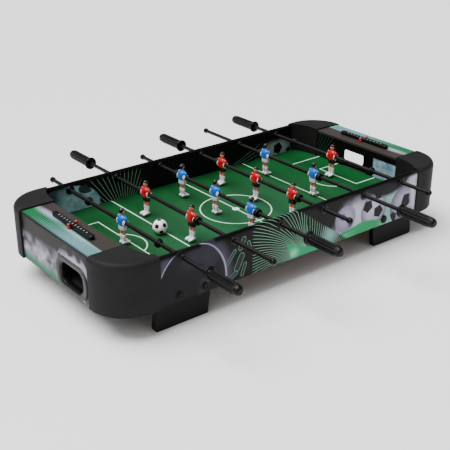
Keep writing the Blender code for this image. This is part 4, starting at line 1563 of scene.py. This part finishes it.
@dataclass
class Rod:
    """One rod with its handle, stops, plug and players."""

    number: int
    record: dict
    rod_r: float = 0.004
    stop_r: float = 0.0085
    plug: Plan = (0.0058, 0.008)
    handle_length: float = 0.083
    handle_depth: float = 0.055
    flute_count: int = 11
    flute_depth: float = 0.0017

    def __post_init__(self) -> None:
        """Find the rod's place and players in the frame."""
        low, high = node_box(f"handle_{self.number}")
        self.x = (low.x + high.x) / 2
        self.z = (low.z + high.z) / 2
        self.team = Team.BLUE if low.y < 0 else Team.RED
        self.toward_handle = -1 if low.y < 0 else 1
        self.body = f"rod_{self.number}"
        nodes = self.record["behaviour"]["bodies"][self.body]
        self.players = sorted(n for n in nodes if n.startswith("player"))

    def build(self) -> None:
        """Build everything on the rod."""
        self.bar()
        self.handle()
        self.stops()
        for node in self.players:
            low, high = node_box(node)
            figure = Player(self.team).build(node + "_figure")
            figure.location = (self.x, (low.y + high.y) / 2, self.z)
            figure.rotation_euler.z = 0.0 if self.team is Team.BLUE else math.pi
            bpy.context.view_layer.update()
            fit(figure, self.body, "player_" + self.team.name.lower(), node)

    def bar(self) -> None:
        """Build the steel bar and the plug on its plain end."""
        low, high = node_box(f"rod_{self.number}")
        sign = self.toward_handle
        plain = low.y if sign > 0 else high.y
        hidden = high.y if sign > 0 else low.y
        edge = 0.0004
        bar = Shape("rod_steel_powder_coated")
        profile = [(self.rod_r - edge, hidden), (self.rod_r, hidden - sign * edge),
                   (self.rod_r, plain + sign * 0.003), (self.rod_r - edge, plain + sign * 0.0026)]
        bar.turn(profile, 32, at=(self.x, 0, self.z))
        fit(bar.build(f"rod_{self.number}_bar"), self.body, "rod_steel", f"rod_{self.number}")
        r, length = self.plug
        plug = Shape("handle_polypropylene_moulded")
        bore = self.rod_r + 0.00005
        profile = [(r * 0.55, 0.0), (r * 0.86, 0.0004), (r, 0.0016), (r, length - 0.0014),
                   (r * 0.94, length - 0.0003), (r * 0.8, length), (bore, length), (bore, 0.0024),
                   (r * 0.3, 0.0024)]
        profile = [(radius, plain + sign * y) for radius, y in profile]
        plug.turn(profile, 32, at=(self.x, 0, self.z), closed=True)
        fit(plug.build(f"rod_{self.number}_plug"), self.body, "handle_plastic")

    def handle(self) -> None:
        """Build the grip: a flange, a fluted barrel and a rounded end."""
        node = f"handle_{self.number}"
        low, high = node_box(node)
        sign = self.toward_handle
        start = low.y if sign > 0 else high.y
        length = self.handle_length
        outer = [(0.0102, 0.0), (0.0124, 0.0005), (0.0132, 0.0018), (0.0132, 0.0040), (0.0124, 0.0053),
                 (0.0100, 0.0060), (0.0094, 0.0072), (0.0097, 0.0095), (0.0103, 0.0125)]
        outer += [(0.0105, 0.0125 + (length - 0.0275) * i / 12) for i in range(1, 13)]
        outer += [(0.0104, length - 0.0120), (0.0099, length - 0.0080), (0.0088, length - 0.0042),
                  (0.0070, length - 0.0016), (0.0050, length - 0.0004), (0.0042, length - 0.0004),
                  (0.0038, length - 0.0011), (0.0010, length - 0.0011)]
        bore = self.rod_r + GAP
        inner = [(0.0005, self.handle_depth + GAP), (bore, self.handle_depth + GAP), (bore, 0.0)]
        depth, count = self.flute_depth, self.flute_count

        def flutes(y: float, angle: float) -> float:
            """Grooves that run along the barrel and fade out at both its ends.

            Args:
                y: place along the axis.
                angle: angle round it.
            Returns:
                The groove's depth.
            """
            along = abs(y - start)
            fade_in = min(1.0, max(0.0, (along - 0.0085) / 0.006))
            fade_out = min(1.0, max(0.0, (length - 0.004 - along) / 0.012))
            wave = 0.5 - 0.5 * math.cos(count * angle)
            return depth * (fade_in * fade_out) * wave ** 1.6

        profile = [(r, start + sign * y) for r, y in inner + outer]
        grip = Shape("handle_polypropylene_moulded")
        solid = len(inner)
        rings = []
        for index, (radius, y) in enumerate(profile):
            ring = []
            for i in range(132):
                a = math.tau * i / 132
                r = radius - (flutes(y, a) if index >= solid else 0.0)
                ring.append((self.x + r * math.cos(a), y, self.z + r * math.sin(a)))
            rings.append(ring)
        grip.skin(rings)
        fit(grip.build(f"handle_{self.number}_grip", crease_deg=50), self.body, "handle_plastic", node)

    def stops(self) -> None:
        """Build the near stop, which slides with the rod, and the far one, fixed on it."""
        low, high = node_box(f"bumper_{self.number}")
        near = (low.y + high.y) / 2
        middle = sum((node_box(n)[0].y + node_box(n)[1].y) / 2 for n in self.players) / len(self.players)
        for place, y, body in (("near", near, f"rod_{self.number}_slider"),
                               ("far", 2 * middle - near, self.body)):
            half, r, bore = (high.y - low.y) / 2, self.stop_r, self.rod_r + 0.0002
            if len(self.players) > 1:
                profile = [(bore, -half), (r * 0.86, -half), (r * 0.97, -half * 0.82), (r, -half * 0.5),
                           (r * 0.965, -half * 0.2), (r * 0.965, half * 0.2), (r, half * 0.5),
                           (r * 0.97, half * 0.82), (r * 0.86, half), (bore, half)]
            else:
                profile = [(bore, -half), (r * 0.62, -half), (r * 0.7, -half * 0.85), (r * 0.7, -half * 0.35),
                           (r * 0.92, -half * 0.2), (r, 0.0), (r, half * 0.7), (r * 0.93, half * 0.95),
                           (r * 0.8, half), (bore, half)]
            stop = Shape("stop_rubber_moulded")
            stop.turn(profile, 36, closed=True, at=(self.x, y, self.z))
            obj = stop.build(f"rod_{self.number}_stop_{place}", crease_deg=50)
            nodes = (f"bumper_{self.number}",) if place == "near" else ()
            fit(obj, body, "bumper_rubber", *nodes)


@dataclass
class Ball:
    """A small football: white with twelve printed pentagons."""

    turn_deg: Point = (62.7, -11.9, 163.3)

    def build(self) -> None:
        """Build a sphere whose faces follow a football's panels."""
        low, high = node_box("ball")
        radius = (high.z - low.z) / 2
        shape = Shape("ball_polystyrene_white", "ball_ink_black")
        bmesh.ops.create_icosphere(shape.bm, subdivisions=1, radius=1.0)
        bmesh.ops.bevel(shape.bm, geom=shape.bm.verts[:], offset=33.3, offset_type="PERCENT", segments=1,
                        affect="VERTICES")
        for face in shape.bm.faces:
            face.material_index = 1 if len(face.verts) == 5 else 0
        bmesh.ops.poke(shape.bm, faces=shape.bm.faces[:])
        bmesh.ops.subdivide_edges(shape.bm, edges=shape.bm.edges[:], cuts=5, use_grid_fill=True)
        turn = Matrix.Rotation(math.radians(self.turn_deg[2]), 3, "Z")
        turn = turn @ Matrix.Rotation(math.radians(self.turn_deg[1]), 3, "Y")
        turn = turn @ Matrix.Rotation(math.radians(self.turn_deg[0]), 3, "X")
        middle = (low + high) / 2
        for vert in shape.bm.verts:
            vert.co = middle + turn @ (vert.co.normalized() * radius)
        fit(shape.build("ball_printed", crease_deg=60), "ball", "ball_plastic", "ball")


# Studio ---------------------------------------------------------------------------------------
@dataclass
class Studio:
    """A pale floor, soft lights and the camera."""

    camera_at: Point = (-1.0332, -1.2633, 0.7903)
    camera_aim: Point = (0.0424, 0.0889, 0.0)
    lens_mm: float = 69.44
    floor: str = "f4f4f4"

    def build(self) -> None:
        """Set up the floor, world, lights and camera."""
        material, shader = start_material("floor_paper_matt", roughness=0.9)
        shader.inputs["Base Color"].default_value = linear(self.floor)
        bm = bmesh.new()
        bmesh.ops.create_grid(bm, x_segments=1, y_segments=1, size=15.0)
        mesh = bpy.data.meshes.new("studio_floor")
        bm.to_mesh(mesh)
        bm.free()
        mesh.materials.append(material)
        floor = bpy.data.objects.new("studio_floor", mesh)
        floor.location.z = -0.0002
        bpy.context.scene.collection.objects.link(floor)
        world = bpy.data.worlds.new("studio_world")
        world.use_nodes = True
        background = world.node_tree.nodes["Background"]
        background.inputs["Color"].default_value = (1.0, 1.0, 1.0, 1.0)
        background.inputs["Strength"].default_value = 0.32
        bpy.context.scene.world = world
        self.sun("overhead_diffuser", (-0.3, 0.2, 1.0), 50.0, 6.0)
        self.area_light("key_softbox", (-1.5, -0.6, 1.3), (0.0, 0.0, 0.08), 1.0, 8.0)
        self.area_light("fill_softbox", (0.6, -2.0, 1.0), (0.0, 0.0, 0.08), 1.2, 3.0)
        camera = bpy.data.cameras.new("camera")
        camera.lens = self.lens_mm
        camera.sensor_width = 36.0
        obj = bpy.data.objects.new("camera", camera)
        self.look(obj, self.camera_at, self.camera_aim)
        bpy.context.scene.collection.objects.link(obj)
        bpy.context.scene.camera = obj

    @staticmethod
    def look(obj: bpy.types.Object, at: Point, aim: Point) -> None:
        """Put an object at one point, looking at another."""
        obj.location = at
        obj.rotation_euler = (Vector(aim) - Vector(at)).to_track_quat("-Z", "Y").to_euler()

    def sun(self, name: str, from_where: Point, spread_deg: float, strength: float) -> None:
        """Add a wide distant light, as a white ceiling gives.

        Args:
            name: the light's name.
            from_where: the direction it comes from.
            spread_deg: its angular size.
            strength: its strength.
        """
        light = bpy.data.lights.new(name, "SUN")
        light.angle = math.radians(spread_deg)
        light.energy = strength
        obj = bpy.data.objects.new(name, light)
        self.look(obj, from_where, (0.0, 0.0, 0.0))
        bpy.context.scene.collection.objects.link(obj)

    def area_light(self, name: str, at: Point, aim: Point, size: float, power: float) -> None:
        """Add a square soft light.

        Args:
            name: the light's name.
            at: its place.
            aim: where it points.
            size: its side's length.
            power: its power in watts.
        """
        light = bpy.data.lights.new(name, "AREA")
        light.size = size
        light.energy = power
        obj = bpy.data.objects.new(name, light)
        self.look(obj, at, aim)
        bpy.context.scene.collection.objects.link(obj)


def main() -> None:
    """Build every class of piece in order."""
    logging.basicConfig(level=logging.INFO, format="%(name)s: %(message)s")
    record = frame["record"]
    make_finishes()
    rods = [Rod(number, record) for number in range(1, 7)]
    Carcass(rods[0].z, [rod.x for rod in rods]).build()
    for side in Side:
        for end in End:
            CornerCap(side, end).build()
            Leg(side, end).build()
    for end in End:
        BallReturn(end).build()
        ScoreCounter(end).build()
    for rod in rods:
        rod.build()
    Ball().build()
    Studio().build()


if __name__ == "__main__":
    main()
